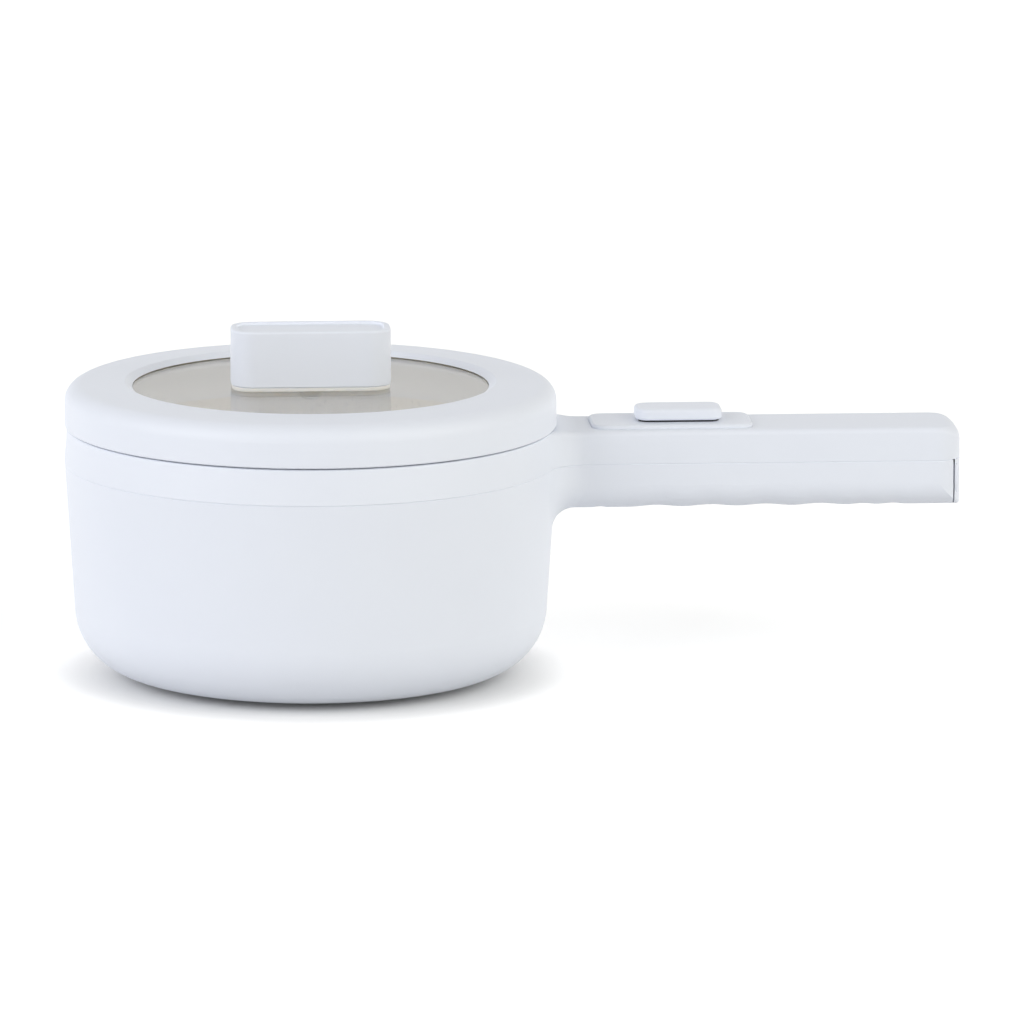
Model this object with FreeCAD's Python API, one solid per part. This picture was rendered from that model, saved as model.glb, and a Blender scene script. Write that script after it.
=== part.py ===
# Electric hot pot with a lift-off lid and a long straight handle. Millimetres, +Z up, +X along the handle.
# Everything is drawn about the pot's own axis. save() then moves it so that the origin lies at the
# middle of the whole object's footprint, on the surface that it stands on.
import FreeCAD, Part
import math
import os
from FreeCAD import Vector

# ---------------------------------------------------------------- driving dimensions
# pot housing
foot_height = 2.0               # clear height under the housing
housing_height = 100.2          # underside to the collar's top edge
parting_radius = 100.0          # lower shell at the parting plane
housing_draft = 3.55            # degrees, lower shell narrows towards the base
base_corner_radius = 26.0
collar_height = 14.5            # upper shell, parting plane to top edge
collar_overhang = 0.2           # upper shell stands proud of the lower one
collar_taper = 1.1              # collar is this much slimmer at its top edge
collar_land = 3.3               # collar's top edge, outside the inner pot's flange
shell_wall = 2.6
top_edge_radius = 0.8           # collar's top edge
seam_chamfer = 0.25
end_cap_edge_radius = 1.3
end_cap_wall = 3.0
tongue_depth = 2.0              # upper shell's tongue reaches into the lower shell
tongue_wall = 1.1

# handle
handle_length = 164.8           # parting circle to the end face
handle_width = 36.4
handle_height = 33.1
handle_drop = 0.7               # handle's top lies this much lower than the collar's
handle_drop_length = 9.0        # over this length, from the collar's edge
handle_corner_radius = 10.0     # lower long edges
handle_end_radius = 10.0        # end corners, in plan
handle_end_crown = 0.9
handle_top_edge_radius = 2.4    # top edges along the handle
handle_end_top_radius = 6.0     # top edge round the end face
root_side_radius = 18.0         # blend into the pot at the sides
root_under_radius = 9.0         # blend into the pot underneath
grip_offset = 29.0              # parting circle to the first finger groove
groove_pitch = 22.3
groove_depth = 0.7
groove_count = 4
small_groove_pitch = 12.4
small_groove_depth = 0.45
small_groove_count = 2
end_cap_flange = 3.0
end_cap_gap = 0.6
end_cap_spigot = 9.0
end_cap_groove_length = 3.0     # groove round the spigot's root, behind the flange
end_cap_groove_depth = 1.6
handle_screw_offset = 17.0      # parting circle to the screws
handle_screw_pitch = 19.0
screw_boss_radius = 4.2
screw_radius = 1.5
screw_head_radius = 2.8
screw_head_height = 2.0
handle_screw_length = 14.0
handle_screw_drop = 6.0         # screw's seat below the parting plane

# base
cover_inset = 7.0               # from the edge of the underside's flat
cover_thickness = 2.4
cover_edge_radius = 0.4
cover_ledge_width = 9.0
vent_count = 12
vent_inner_radius = 16.0
vent_outer_radius = 34.0
vent_width = 3.0
foot_radius = 7.0
foot_margin = 1.6               # foot to the cover's edge
foot_count = 4
foot_recess = 1.0
foot_lip = 1.0                  # foot's flange round its plug
foot_edge_radius = 0.6
base_screw_count = 4
base_boss_height = 9.0
base_head_height = 1.5

# inner pot and heater
pot_draft = 3.0
pot_wall = 2.0
pot_floor_z = 30.0              # outside of the floor
pot_corner_radius = 16.0
pot_flange_width = 7.5          # outside the wall
pot_flange_thickness = 1.5
pot_lip_radius = 0.9
pot_flange_stand = 0.3          # flange stands above the collar's edge
seal_thickness = 0.6
seal_hang = 2.0                 # seal's skirt below the ledge's top
ledge_thickness = 2.4
pot_air_gap = 2.2               # inner pot's wall to the ledge
plate_margin = 0.25             # plate to the edge of the pot floor's flat
plate_thickness = 4.0
plate_lower_edge = 1.2
plate_upper_edge = 0.6
tube_inset = 18.0               # plate's edge to the middle of the heating tube
tube_radius = 3.3
tube_sink = 1.7                 # tube lies this deep in the plate
tube_gap_angle = 50.0           # open part of the heating tube's ring
tube_leg_length = 9.0
terminal_radius = 1.6
terminal_length = 7.0
stud_radius = 2.5
stud_spare = 2.0                # stud past the nut
shield_drop = 8.0               # plate underside to the shield
shield_thickness = 0.6
shield_inset = 2.0              # plate's edge to the bend of the shield's rim
shield_rim_height = 4.0
spacer_radius = 4.5
bar_width = 16.0
bar_thickness = 1.6
bar_crown = 30.0
nut_height = 4.0
nut_across_flats = 8.0
thermostat_radius = 8.5
thermostat_height = 9.5
thermostat_tab_offset = 3.8
thermostat_tab_rise = 2.85      # tabs start this far above the body's foot
thermostat_y = -24.0
strap_width = 8.0
strap_thickness = 0.8
strap_foot_length = 8.0
clip_foot_length = 4.0
fuse_radius = 2.1
fuse_length = 13.0
fuse_wire_radius = 0.65
fuse_wire_length = 6.5          # each end
fuse_y = -44.0

# slide switch
switch_offset = 49.7            # parting circle to the switch's middle
plate_offset = 3.0              # plate's middle lies this much nearer to the pot
plate_length = 65.6
plate_width = 29.5
plate_corner_radius = 6.0
plate_proud = 1.5
plate_recess = 0.6
plate_edge_chamfer = 0.7
switch_travel = 5.0             # each way from the middle position
button_length = 35.2
button_width = 17.6
button_height = 4.8
button_corner_radius = 5.2
button_top_edge = 1.5
button_lower_edge = 1.1
button_gap = 0.75               # button to plate
stem_length = 11.0
stem_width = 4.4
carriage_length = 17.0
carriage_width = 9.0
carriage_thickness = 2.0
peg_length = 6.0
peg_width = 3.4
peg_depth = 5.4
switch_length = 30.0
switch_width = 14.0
switch_height = 9.8
switch_ear_length = 8.0
switch_ear_thickness = 2.5
switch_ear_width = 9.8
switch_tab_length = 4.8
switch_tab_pitch = 10.0
switch_boss_radius = 3.15
switch_screw_radius = 1.3
switch_pilot_depth = 4.2
switch_head_height = 1.6

# power inlet in the handle's end
inlet_width = 19.0
inlet_height = 12.4
inlet_depth = 21.0
recess_width = 15.6
recess_height = 9.0
recess_depth = 11.0
recess_edge_radius = 4.4
pin_radius = 1.2
pin_pitch = 8.6
pin_length = 9.0
pin_tip_radius = 0.7
tab_length = 8.0
tab_width = 4.8
tab_thickness = 0.8
lead_radius = 1.3
lead_bend_radius = 6.0
lead_spread = 2.8               # leads lie this far from the middle, between the screw posts

# lid
lid_inset = 0.2                 # lid's edge inside the collar's widest edge
lid_seam = 0.6                  # open seam between collar and lid
lid_edge_radius = 0.7
lid_shoulder_height = 16.7      # top land over the lid's lower edge
lid_shoulder_radius = 7.0
lid_crest_height = 17.8
lid_land_width = 24.6           # outer edge to the crest round the window
lid_wall = 2.6
bevel_width = 3.0               # crest to the window's edge
glass_bite = 5.0                # glass reaches under the rim
glass_thickness = 4.0
glass_top_height = 15.4         # glass surface over the lid's lower edge
glass_edge_radius = 0.8
gasket_lip = 0.8
gasket_lip_width = 3.4
gasket_wall = 1.0
glass_reveal = 0.35             # rim's inner edge over the glass
rim_bead = 1.6                  # rim's wall round the gasket
rim_crest_radius = 1.2
rim_slope = 0.1                 # outer wall leans in over its height
skirt_depth = 6.2               # under-ring reaches into the inner pot
skirt_clearance = 1.2
under_ring_wall = 2.0
under_ring_corner = 1.5
skirt_edge_radius = 0.6

# knob
knob_length = 64.8
knob_width = 26.6
knob_height = 23.1
knob_corner_radius = 9.5
knob_wall = 2.6
knob_rim = 2.6
knob_dish_depth = 1.2
knob_dish_radius = 0.85
knob_edge_radius = 0.9
knob_foot_chamfer = 0.5
knob_pad_thickness = 1.5
knob_pad_inset = 1.8
knob_boss_radius = 4.6
knob_rib = 1.8
knob_screw_radius = 2.0
knob_head_radius = 4.4
knob_head_height = 3.0
washer_radius = 6.5
washer_thickness = 1.2
washer_edge_radius = 0.4
glass_hole_clearance = 0.6
screw_bite = 11.0               # knob screw inside the boss
pilot_spare = 1.0               # pilot deeper than the screw

# ---------------------------------------------------------------- clearances
fit_clearance = 0.15            # pieces that drop into each other
moving_clearance = 0.3          # pieces that move against each other
screw_clearance = 0.2           # round a screw's shank
pilot_clearance = 0.05          # round a screw's thread

# ---------------------------------------------------------------- worked-out places
underside_z = foot_height
collar_top_z = underside_z + housing_height
parting_z = collar_top_z - collar_height
collar_bottom_radius = parting_radius + collar_overhang
collar_top_radius = collar_bottom_radius - collar_taper
collar_slope = (collar_bottom_radius - collar_top_radius) / collar_height
draft_slope = math.tan(math.radians(housing_draft))
handle_top_z = collar_top_z - handle_drop
handle_bottom_z = handle_top_z - handle_height
half_width = handle_width / 2
handle_reach = parting_radius + handle_length
grip_start = parting_radius + grip_offset
handle_screw_x = parting_radius + handle_screw_offset
handle_screw_seat_z = parting_z - handle_screw_drop
cap_x = handle_reach - end_cap_flange
tongue_end_x = cap_x - end_cap_spigot - 2 * end_cap_gap
blend_start_x = 0.7 * parting_radius

cover_top_z = underside_z + cover_thickness
ledge_ring_z = cover_top_z + fit_clearance
floor_top_z = ledge_ring_z + shell_wall
underside_flat_radius = parting_radius - (parting_z - underside_z) * draft_slope - base_corner_radius
cover_radius = underside_flat_radius - cover_inset
cover_hole_radius = cover_radius - cover_ledge_width
foot_circle_radius = cover_radius - foot_margin - foot_radius
base_screw_circle_radius = cover_radius - cover_ledge_width / 2

pot_flange_z = collar_top_z + pot_flange_stand - pot_flange_thickness
pot_flange_top_z = pot_flange_z + pot_flange_thickness
ledge_z = pot_flange_z - seal_thickness
pot_flange_radius = collar_top_radius - collar_land - moving_clearance
pot_top_radius = pot_flange_radius - pot_flange_width
pot_slope = math.tan(math.radians(pot_draft))
pot_base_radius = pot_top_radius - (pot_flange_z - pot_floor_z) * pot_slope
ledge_inner_radius = pot_top_radius + pot_air_gap
plate_radius = pot_base_radius - pot_corner_radius - plate_margin
tube_circle_radius = plate_radius - tube_inset
shield_radius = plate_radius - shield_inset
plate_z = pot_floor_z - plate_thickness
tube_z = plate_z + tube_sink - tube_radius
shield_top_z = plate_z - shield_drop
shield_z = shield_top_z - shield_thickness
bar_top_z = shield_z
nut_z = bar_top_z - bar_thickness - nut_height
stud_z = nut_z - stud_spare
thermostat_z = plate_z - thermostat_height
thermostat_tab_z = thermostat_z + thermostat_tab_rise - tab_length
fuse_z = shield_z - fuse_radius - pilot_clearance
lead_floor_z = cover_top_z + 2 * lead_radius

switch_centre_x = parting_radius + switch_offset
plate_centre_x = switch_centre_x - plate_offset
plate_top_z = handle_top_z + plate_proud
button_z = plate_top_z + button_gap
inner_top_z = handle_top_z - shell_wall
carriage_z = inner_top_z - moving_clearance - carriage_thickness
switch_top_z = carriage_z - moving_clearance
switch_z = switch_top_z - switch_height
slot_length = stem_length + 2 * switch_travel + 2 * moving_clearance
slot_width = stem_width + 2 * moving_clearance
inlet_z = (handle_bottom_z + parting_z) / 2
inlet_front_x = handle_reach - handle_end_crown

lid_z = collar_top_z + lid_seam
lid_radius = collar_bottom_radius - lid_inset
lid_crest_radius = lid_radius - lid_land_width
window_radius = lid_crest_radius - bevel_width
glass_radius = window_radius + glass_bite
glass_top_z = lid_z + glass_top_height
glass_z = glass_top_z - glass_thickness
seat_z = pot_flange_top_z + fit_clearance
pot_mouth_radius = pot_top_radius - pot_wall
skirt_radius = pot_mouth_radius - skirt_clearance
gasket_inner_radius = glass_radius - gasket_lip_width
gasket_outer_radius = glass_radius + gasket_wall
rim_inner_radius = lid_radius - lid_wall
knob_z = glass_top_z + knob_pad_thickness
knob_top_z = knob_z + knob_height

footprint_middle_x = (handle_reach - collar_bottom_radius) / 2
up = Vector(0, 0, 1)
along = Vector(1, 0, 0)


# ---------------------------------------------------------------- drawing helpers
def save(node, shape):
    """Write one sub-part, moved to the object's own origin."""
    placed = shape.copy()
    placed.translate(Vector(-footprint_middle_x, 0, 0))
    placed.exportStep("parts/" + node + ".step")


def point_on(plane, a, b):
    if plane == "xz":
        return Vector(a, 0, b)
    if plane == "yz":
        return Vector(0, a, b)
    return Vector(a, b, 0)


def outline(corners, plane):
    """Face inside corners given as (a, b) or (a, b, radius); a radius makes a tangent arc."""
    joints = []
    for index, corner in enumerate(corners):
        here = point_on(plane, corner[0], corner[1])
        if len(corner) == 2 or corner[2] <= 0:
            joints.append((here, None, here))
            continue
        before = corners[index - 1]
        after = corners[(index + 1) % len(corners)]
        back = (point_on(plane, before[0], before[1]) - here).normalize()
        ahead = (point_on(plane, after[0], after[1]) - here).normalize()
        half_angle = back.getAngle(ahead) / 2
        reach = corner[2] / math.tan(half_angle)
        middle = (back + ahead).normalize()
        crown = here + middle * (corner[2] / math.sin(half_angle) - corner[2])
        joints.append((here + back * reach, crown, here + ahead * reach))
    edges = []
    for index, (start, crown, end) in enumerate(joints):
        previous_end = joints[index - 1][2]
        if (start - previous_end).Length > 1e-6:
            edges.append(Part.makeLine(previous_end, start))
        if crown is not None:
            edges.append(Part.Arc(start, crown, end).toShape())
    return Part.Face(Part.Wire(edges))


def turned(corners, start_angle=0):
    """Ring or disc turned about the pot's axis from (radius, z) corners, its seam at start_angle."""
    face = outline(corners, "xz")
    face.rotate(Vector(0, 0, 0), up, start_angle)
    return face.revolve(Vector(0, 0, 0), up, 360)


def cylinder(radius, height, x, y, z, axis=up):
    return Part.makeCylinder(radius, height, Vector(x, y, z), axis)


def block(length, width, height, x, y, z):
    """Box centred on x and y, standing on z."""
    return Part.makeBox(length, width, height, Vector(x - length / 2, y - width / 2, z))


def rounded_block(length, width, height, radius, x, y, z):
    """Box with rounded upright corners, centred on x and y, standing on z."""
    a = length / 2
    b = width / 2
    face = outline([(-a, -b, radius), (a, -b, radius), (a, b, radius), (-a, b, radius)], "xy")
    face.translate(Vector(x, y, z))
    return face.extrude(up * height)


def ring_of(shape, count, first_angle=0.0):
    """Copies of a shape, evenly spaced round the pot's axis."""
    copies = []
    for index in range(count):
        copy = shape.copy()
        copy.rotate(Vector(0, 0, 0), up, first_angle + 360.0 * index / count)
        copies.append(copy)
    return copies


def pan_screw(head_radius, head_height, shank_radius, shank_length):
    """Screw with its seat at the origin: shank up along +Z, head below."""
    edge = head_height * 0.45
    head = turned([(0, -head_height), (head_radius, -head_height, edge), (head_radius, 0), (0, 0)])
    tip = shank_radius * 0.5
    shank = turned([(0, 0), (shank_radius, 0), (shank_radius, shank_length - tip),
                    (shank_radius - tip, shank_length), (0, shank_length)])
    return head.fuse(shank).removeSplitter()


def placed(shape, x, y, z):
    copy = shape.copy()
    copy.translate(Vector(x, y, z))
    return copy


def level_edges(shape, z, keep):
    """Edges that lie in the plane z and whose middle passes keep(point)."""
    found = []
    for edge in shape.Edges:
        box = edge.BoundBox
        if abs(box.ZMin - z) > 1e-4 or abs(box.ZMax - z) > 1e-4:
            continue
        middle = edge.valueAt((edge.FirstParameter + edge.LastParameter) / 2)
        if keep(middle):
            found.append(edge)
    return found


def tapered_fillet(shape, radii):
    """Fillet with a radius for each end of an edge: radii holds (edge number, first, last)."""
    sheet = FreeCAD.newDocument("fillet")
    base = sheet.addObject("Part::Feature", "base")
    base.Shape = shape
    fillet = sheet.addObject("Part::Fillet", "fillet")
    fillet.Base = base
    fillet.Edges = radii
    sheet.recompute()
    result = fillet.Shape.copy()
    FreeCAD.closeDocument(sheet.Name)
    return result


def lead(points):
    """Insulated wire: straight runs through the points, joined by tangent arcs."""
    edges = []
    start = points[0]
    for before, corner, after in zip(points, points[1:], points[2:]):
        back = (before - corner).normalize()
        ahead = (after - corner).normalize()
        half_angle = back.getAngle(ahead) / 2
        shorter = min((before - corner).Length, (after - corner).Length)
        radius = min(lead_bend_radius, 0.45 * shorter * math.tan(half_angle))
        reach = radius / math.tan(half_angle)
        middle = (back + ahead).normalize()
        crown = corner + middle * (radius / math.sin(half_angle) - radius)
        edges.append(Part.makeLine(start, corner + back * reach))
        edges.append(Part.Arc(corner + back * reach, crown, corner + ahead * reach).toShape())
        start = corner + ahead * reach
    edges.append(Part.makeLine(start, points[-1]))
    path = Part.Wire(edges)
    first = (points[1] - points[0]).normalize()
    section = Part.Wire([Part.makeCircle(lead_radius, points[0], first)])
    return path.makePipeShell([section], True, True)


# ---------------------------------------------------------------- outer form of pot and handle
def lower_radius(z):
    return parting_radius - (parting_z - z) * draft_slope


def upper_radius(z):
    return collar_bottom_radius - (z - parting_z) * collar_slope


def lower_drum(inset):
    """Drafted drum with a rounded base corner, drawn past the parting plane, its seam off the handle."""
    top = parting_z + collar_height + 2 * shell_wall
    base = underside_z + inset
    return turned([(0, base), (lower_radius(base) - inset, base, base_corner_radius - inset),
                   (lower_radius(top) - inset, top), (0, top)], 180)


def upper_drum(inset):
    """Collar's cone, drawn past the parting plane and past its top edge, its seam off the handle."""
    base = handle_bottom_z - 3 * root_under_radius
    top = parting_z + collar_height + 2 * shell_wall
    return turned([(0, base), (upper_radius(base) - inset, base),
                   (upper_radius(top) - inset, top), (0, top)], 180)


def groove_line():
    """Underside of the grip: a smooth wave through the grooves' bottoms and the ridges between."""
    points = [Vector(grip_start, 0, handle_bottom_z)]
    x = grip_start
    pitches = [(groove_pitch, groove_depth)] * groove_count
    pitches += [(small_groove_pitch, small_groove_depth)] * small_groove_count
    for pitch, depth in pitches:
        points.append(Vector(x + pitch / 2, 0, handle_bottom_z + depth))
        x += pitch
        points.append(Vector(x, 0, handle_bottom_z))
    level = [along] * len(points)
    wave = Part.BSplineCurve()
    wave.interpolate(Points=points, Tangents=level, TangentFlags=[True] * len(points))
    return wave.toShape(), points[-1]


def handle_bar(inset, grooved):
    """Straight handle with rounded lower edges, from inside the pot past the end face."""
    end_x = handle_reach + 2 * handle_end_crown
    top = handle_top_z + 2 * shell_wall
    base = handle_bottom_z + inset
    start = Vector(blend_start_x, 0, base)
    if grooved:
        wave, wave_end = groove_line()
        first = Vector(grip_start, 0, base)
        underside = [Part.makeLine(start, first), wave, Part.makeLine(wave_end, Vector(end_x, 0, base))]
    else:
        underside = [Part.makeLine(start, Vector(end_x, 0, base))]
    rest = Part.makePolygon([Vector(end_x, 0, base), Vector(end_x, 0, top),
                             Vector(blend_start_x, 0, top), start]).Edges
    side = Part.Face(Part.Wire(underside + rest))
    side.translate(Vector(0, -(half_width - inset), 0))
    bar = side.extrude(Vector(0, handle_width - 2 * inset, 0))
    lower = []
    for edge in bar.Edges:
        box = edge.BoundBox
        at_side = box.YMax - box.YMin < 1e-4
        if at_side and box.ZMax < base + 2 * groove_depth and box.XMax - box.XMin > 1:
            lower.append(edge)
    return bar.makeFillet(handle_corner_radius - inset, lower)


def half_of(shape):
    """The half of a shape at +Y."""
    size = 4 * handle_reach
    return shape.common(Part.makeBox(size, size, size, Vector(-size / 2, 0, -size / 2)))


def with_mirror_image(half):
    return half.fuse(half.mirror(Vector(0, 0, 0), Vector(0, 1, 0))).removeSplitter()


def blended(drum, bar, inset):
    """Drum and handle as one form, with the blend tighter underneath than at the sides."""
    half = half_of(drum.fuse(bar).removeSplitter())
    low_z = handle_bottom_z + inset
    corner_z = handle_bottom_z + handle_corner_radius
    corner = []
    for index, edge in enumerate(half.Edges):
        box = edge.BoundBox
        near_wall = box.XMin > 0.9 * parting_radius and box.XMax < 1.1 * parting_radius
        if near_wall and abs(box.ZMin - low_z) < 1e-3 and abs(box.ZMax - corner_z) < 1e-3:
            going_up = edge.valueAt(edge.FirstParameter).z < edge.valueAt(edge.LastParameter).z
            ends = (root_under_radius + inset, root_side_radius + inset)
            corner.append((index + 1,) + (ends if going_up else ends[::-1]))
    return with_mirror_image(tapered_fillet(half, corner))


def end_trim(inset):
    """Plan of the handle's end: rounded corners and a slightly crowned face."""
    x = handle_reach - inset
    w = half_width - inset
    corner = handle_end_radius - inset
    wide = parting_radius + 10 * shell_wall
    neck = handle_reach - 2 * handle_end_radius - end_cap_spigot
    crown_radius = w * w / (3 * handle_end_crown)
    face = outline([(-wide, -wide), (neck, -wide), (neck, -w), (x - handle_end_crown, -w, corner),
                    (x, 0, crown_radius), (x - handle_end_crown, w, corner),
                    (neck, w), (neck, wide), (-wide, wide)], "xy")
    return face.extrude(up * (2 * collar_top_z))


def slab(low, high):
    """Everything between two levels."""
    size = 4 * handle_reach
    return block(size, size, high - low, 0, 0, low)


def upto(x):
    """Everything on the pot's side of x."""
    size = 4 * handle_reach
    return Part.makeBox(size, size, size, Vector(x - size, -size / 2, -size / 2))


def lower_form(inset, grooved=False):
    return blended(lower_drum(inset), handle_bar(inset, grooved), inset)


def upper_form(inset):
    return blended(upper_drum(inset), handle_bar(inset, False), inset)


# ---------------------------------------------------------------- housing
def handle_screw_places():
    return [(handle_screw_x, -handle_screw_pitch / 2), (handle_screw_x, handle_screw_pitch / 2)]


def make_lower_shell():
    form = lower_form(0, True).common(slab(0, parting_z)).common(end_trim(0))
    form = form.common(upto(cap_x - end_cap_gap))
    chamfered = level_edges(form, parting_z, lambda p: p.x < cap_x - 2 * end_cap_gap)
    form = form.makeChamfer(seam_chamfer, chamfered)
    shell = form.cut(lower_form(shell_wall))
    tongue_room = lower_form(shell_wall - tongue_wall - fit_clearance)
    tongue_room = tongue_room.common(upto(tongue_end_x + fit_clearance))
    shell = shell.cut(tongue_room.common(slab(parting_z - tongue_depth - fit_clearance, collar_top_z)))
    inner_ledge = turned([(cover_hole_radius, ledge_ring_z),
                          (cover_radius + fit_clearance + shell_wall, ledge_ring_z),
                          (cover_radius + fit_clearance + shell_wall, floor_top_z),
                          (cover_hole_radius, floor_top_z)])
    shell = shell.fuse(inner_ledge)
    boss = cylinder(screw_boss_radius, base_boss_height, base_screw_circle_radius, 0, floor_top_z)
    shell = shell.fuse(ring_of(boss, base_screw_count, 180.0 / base_screw_count))
    shell = shell.cut(cylinder(cover_hole_radius, shell_wall * 4, 0, 0, 0))
    shell = shell.cut(cylinder(cover_radius + fit_clearance, ledge_ring_z, 0, 0, 0))
    height = base_boss_height + shell_wall
    pilot = cylinder(screw_radius + pilot_clearance, height, base_screw_circle_radius, 0, ledge_ring_z)
    shell = shell.cut(Part.makeCompound(ring_of(pilot, base_screw_count, 180.0 / base_screw_count)))
    for x, y in handle_screw_places():
        post = cylinder(screw_boss_radius, parting_z - handle_bottom_z - shell_wall, x, y,
                        handle_bottom_z + shell_wall)
        shell = shell.fuse(post)
        well_depth = handle_screw_seat_z - handle_bottom_z
        shell = shell.cut(cylinder(screw_head_radius + screw_clearance, well_depth, x, y, handle_bottom_z))
        shell = shell.cut(cylinder(screw_radius + screw_clearance, handle_height, x, y, handle_bottom_z))
    return shell.removeSplitter()


def above_top():
    """Everything over the collar's top and, past its edge, over the handle's slightly lower top."""
    size = 4 * handle_reach
    first = Vector(collar_top_radius, 0, collar_top_z)
    last = first + Vector(handle_drop_length, 0, -handle_drop)
    ramp = Part.BSplineCurve()
    ramp.interpolate(Points=[first, last], Tangents=[along, along], TangentFlags=[True, True])
    start = Vector(-size, 0, collar_top_z)
    end = Vector(size, 0, handle_top_z)
    rest = Part.makePolygon([end, end + up * size, start + up * size, start]).Edges
    lower = [Part.makeLine(start, first), ramp.toShape(), Part.makeLine(last, end)]
    face = Part.Face(Part.Wire(lower + rest))
    face.translate(Vector(0, -size / 2, 0))
    return face.extrude(Vector(0, size, 0))


def with_top_edge(form):
    """Rounds the top edge: small round the collar, larger along the handle, largest round its end."""
    def radius_at(point):
        if point.x > handle_reach - 1.5 * handle_end_radius:
            return handle_end_top_radius
        on_handle = point.x > collar_top_radius + handle_drop_length / 2
        return handle_top_edge_radius if on_handle else top_edge_radius

    half = half_of(form)
    radii = []
    for index, edge in enumerate(half.Edges):
        box = edge.BoundBox
        across = box.XMax - box.XMin < 1e-3
        on_middle = box.YMax < 1e-3
        if box.ZMin < handle_top_z - 1e-3 or across or on_middle:
            continue
        first = edge.valueAt(edge.FirstParameter)
        last = edge.valueAt(edge.LastParameter)
        radii.append((index + 1, radius_at(first), radius_at(last)))
    return with_mirror_image(tapered_fillet(half, radii))


def make_upper_shell():
    form = upper_form(0).common(slab(parting_z, 2 * collar_top_z)).common(end_trim(0)).cut(above_top())
    form = with_top_edge(form)
    form = form.makeChamfer(seam_chamfer, level_edges(form, parting_z, lambda p: p.x < cap_x))
    hollow = upper_form(shell_wall).common(end_trim(shell_wall)).common(slab(0, ledge_z - ledge_thickness))
    handle_hollow = handle_bar(shell_wall, False).common(end_trim(shell_wall)).common(slab(0, inner_top_z))
    handle_hollow = handle_hollow.cut(upto(collar_top_radius + root_side_radius / 2))
    shell = form.cut(hollow).cut(handle_hollow)
    shell = shell.cut(cylinder(ledge_inner_radius, collar_top_z, 0, 0, 0))
    shell = shell.cut(cylinder(pot_flange_radius + moving_clearance, collar_top_z, 0, 0, ledge_z))
    tongue_band = slab(parting_z - tongue_depth, parting_z)
    tongue = lower_form(shell_wall - tongue_wall).common(tongue_band)
    tongue = tongue.cut(lower_form(shell_wall).common(tongue_band))
    shell = shell.fuse(tongue.common(upto(tongue_end_x)))
    for x, y in handle_screw_places():
        height = inner_top_z - parting_z
        shell = shell.fuse(cylinder(screw_boss_radius, height, x, y, parting_z))
        shell = shell.cut(cylinder(screw_radius + pilot_clearance, height, x, y, parting_z))
    for x in switch_screw_places():
        shell = shell.fuse(cylinder(switch_boss_radius, inner_top_z - switch_top_z, x, 0, switch_top_z))
        pilot_radius = switch_screw_radius + pilot_clearance
        shell = shell.cut(cylinder(pilot_radius, switch_pilot_depth, x, 0, switch_top_z))
    plate_seat = rounded_block(plate_length + 2 * fit_clearance, plate_width + 2 * fit_clearance,
                               shell_wall, plate_corner_radius + fit_clearance, plate_centre_x, 0,
                               handle_top_z - plate_recess)
    window = rounded_block(slot_length, slot_width, 3 * shell_wall, slot_width / 2.1, switch_centre_x, 0,
                           inner_top_z - shell_wall)
    return shell.cut(plate_seat).cut(window).removeSplitter()


def make_end_cap():
    flange = handle_bar(0, False).common(end_trim(0)).common(slab(0, parting_z)).cut(upto(cap_x))
    rim = [e for e in flange.Edges if e.BoundBox.XMin > cap_x + 1 and e.BoundBox.ZMax < parting_z - 1]
    flange = flange.makeFillet(end_cap_edge_radius, rim)
    fit = shell_wall + fit_clearance
    spigot = handle_bar(fit, False).common(slab(0, parting_z - tongue_depth)).common(upto(cap_x + 1))
    spigot = spigot.cut(upto(cap_x - end_cap_spigot))
    hollow = handle_bar(fit + end_cap_wall, False).common(slab(0, parting_z - tongue_depth - end_cap_wall))
    cap = flange.fuse(spigot.cut(hollow.common(upto(cap_x))))
    groove = handle_bar(0, False).cut(handle_bar(fit + end_cap_groove_depth, False))
    cap = cap.cut(groove.common(upto(cap_x)).cut(upto(cap_x - end_cap_groove_length)))
    socket = block(4 * end_cap_spigot, inlet_width + 2 * fit_clearance, inlet_height + 2 * fit_clearance,
                   handle_reach, 0, inlet_z - inlet_height / 2 - fit_clearance)
    return cap.cut(socket).removeSplitter()


def make_base_cover():
    cover = turned([(0, underside_z), (cover_radius, underside_z, cover_edge_radius),
                    (cover_radius, cover_top_z), (0, cover_top_z)])
    vent = rounded_block(vent_outer_radius - vent_inner_radius, vent_width, 2 * cover_thickness,
                         vent_width / 2.1, (vent_outer_radius + vent_inner_radius) / 2, 0, 0)
    cover = cover.cut(Part.makeCompound(ring_of(vent, vent_count)))
    recess = cylinder(foot_radius - foot_lip, foot_recess, foot_circle_radius, 0, underside_z)
    cover = cover.cut(Part.makeCompound(ring_of(recess, foot_count)))
    hole = cylinder(screw_radius + screw_clearance, 2 * cover_thickness, base_screw_circle_radius, 0, 0)
    return cover.cut(Part.makeCompound(ring_of(hole, base_screw_count, 180.0 / base_screw_count)))


def make_feet():
    plug_radius = foot_radius - foot_lip - fit_clearance
    foot = turned([(0, 0), (foot_radius, 0, foot_edge_radius), (foot_radius, foot_height),
                   (plug_radius, foot_height), (plug_radius, foot_height + foot_recess),
                   (0, foot_height + foot_recess)])
    return Part.makeCompound(ring_of(placed(foot, foot_circle_radius, 0, 0), foot_count))


def make_base_screws():
    screw = pan_screw(screw_head_radius, base_head_height, screw_radius, base_boss_height)
    screw = placed(screw, base_screw_circle_radius, 0, underside_z)
    return Part.makeCompound(ring_of(screw, base_screw_count, 180.0 / base_screw_count))


def make_handle_screws():
    screw = pan_screw(screw_head_radius, screw_head_height, screw_radius, handle_screw_length)
    return Part.makeCompound([placed(screw, x, y, handle_screw_seat_z) for x, y in handle_screw_places()])


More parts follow.
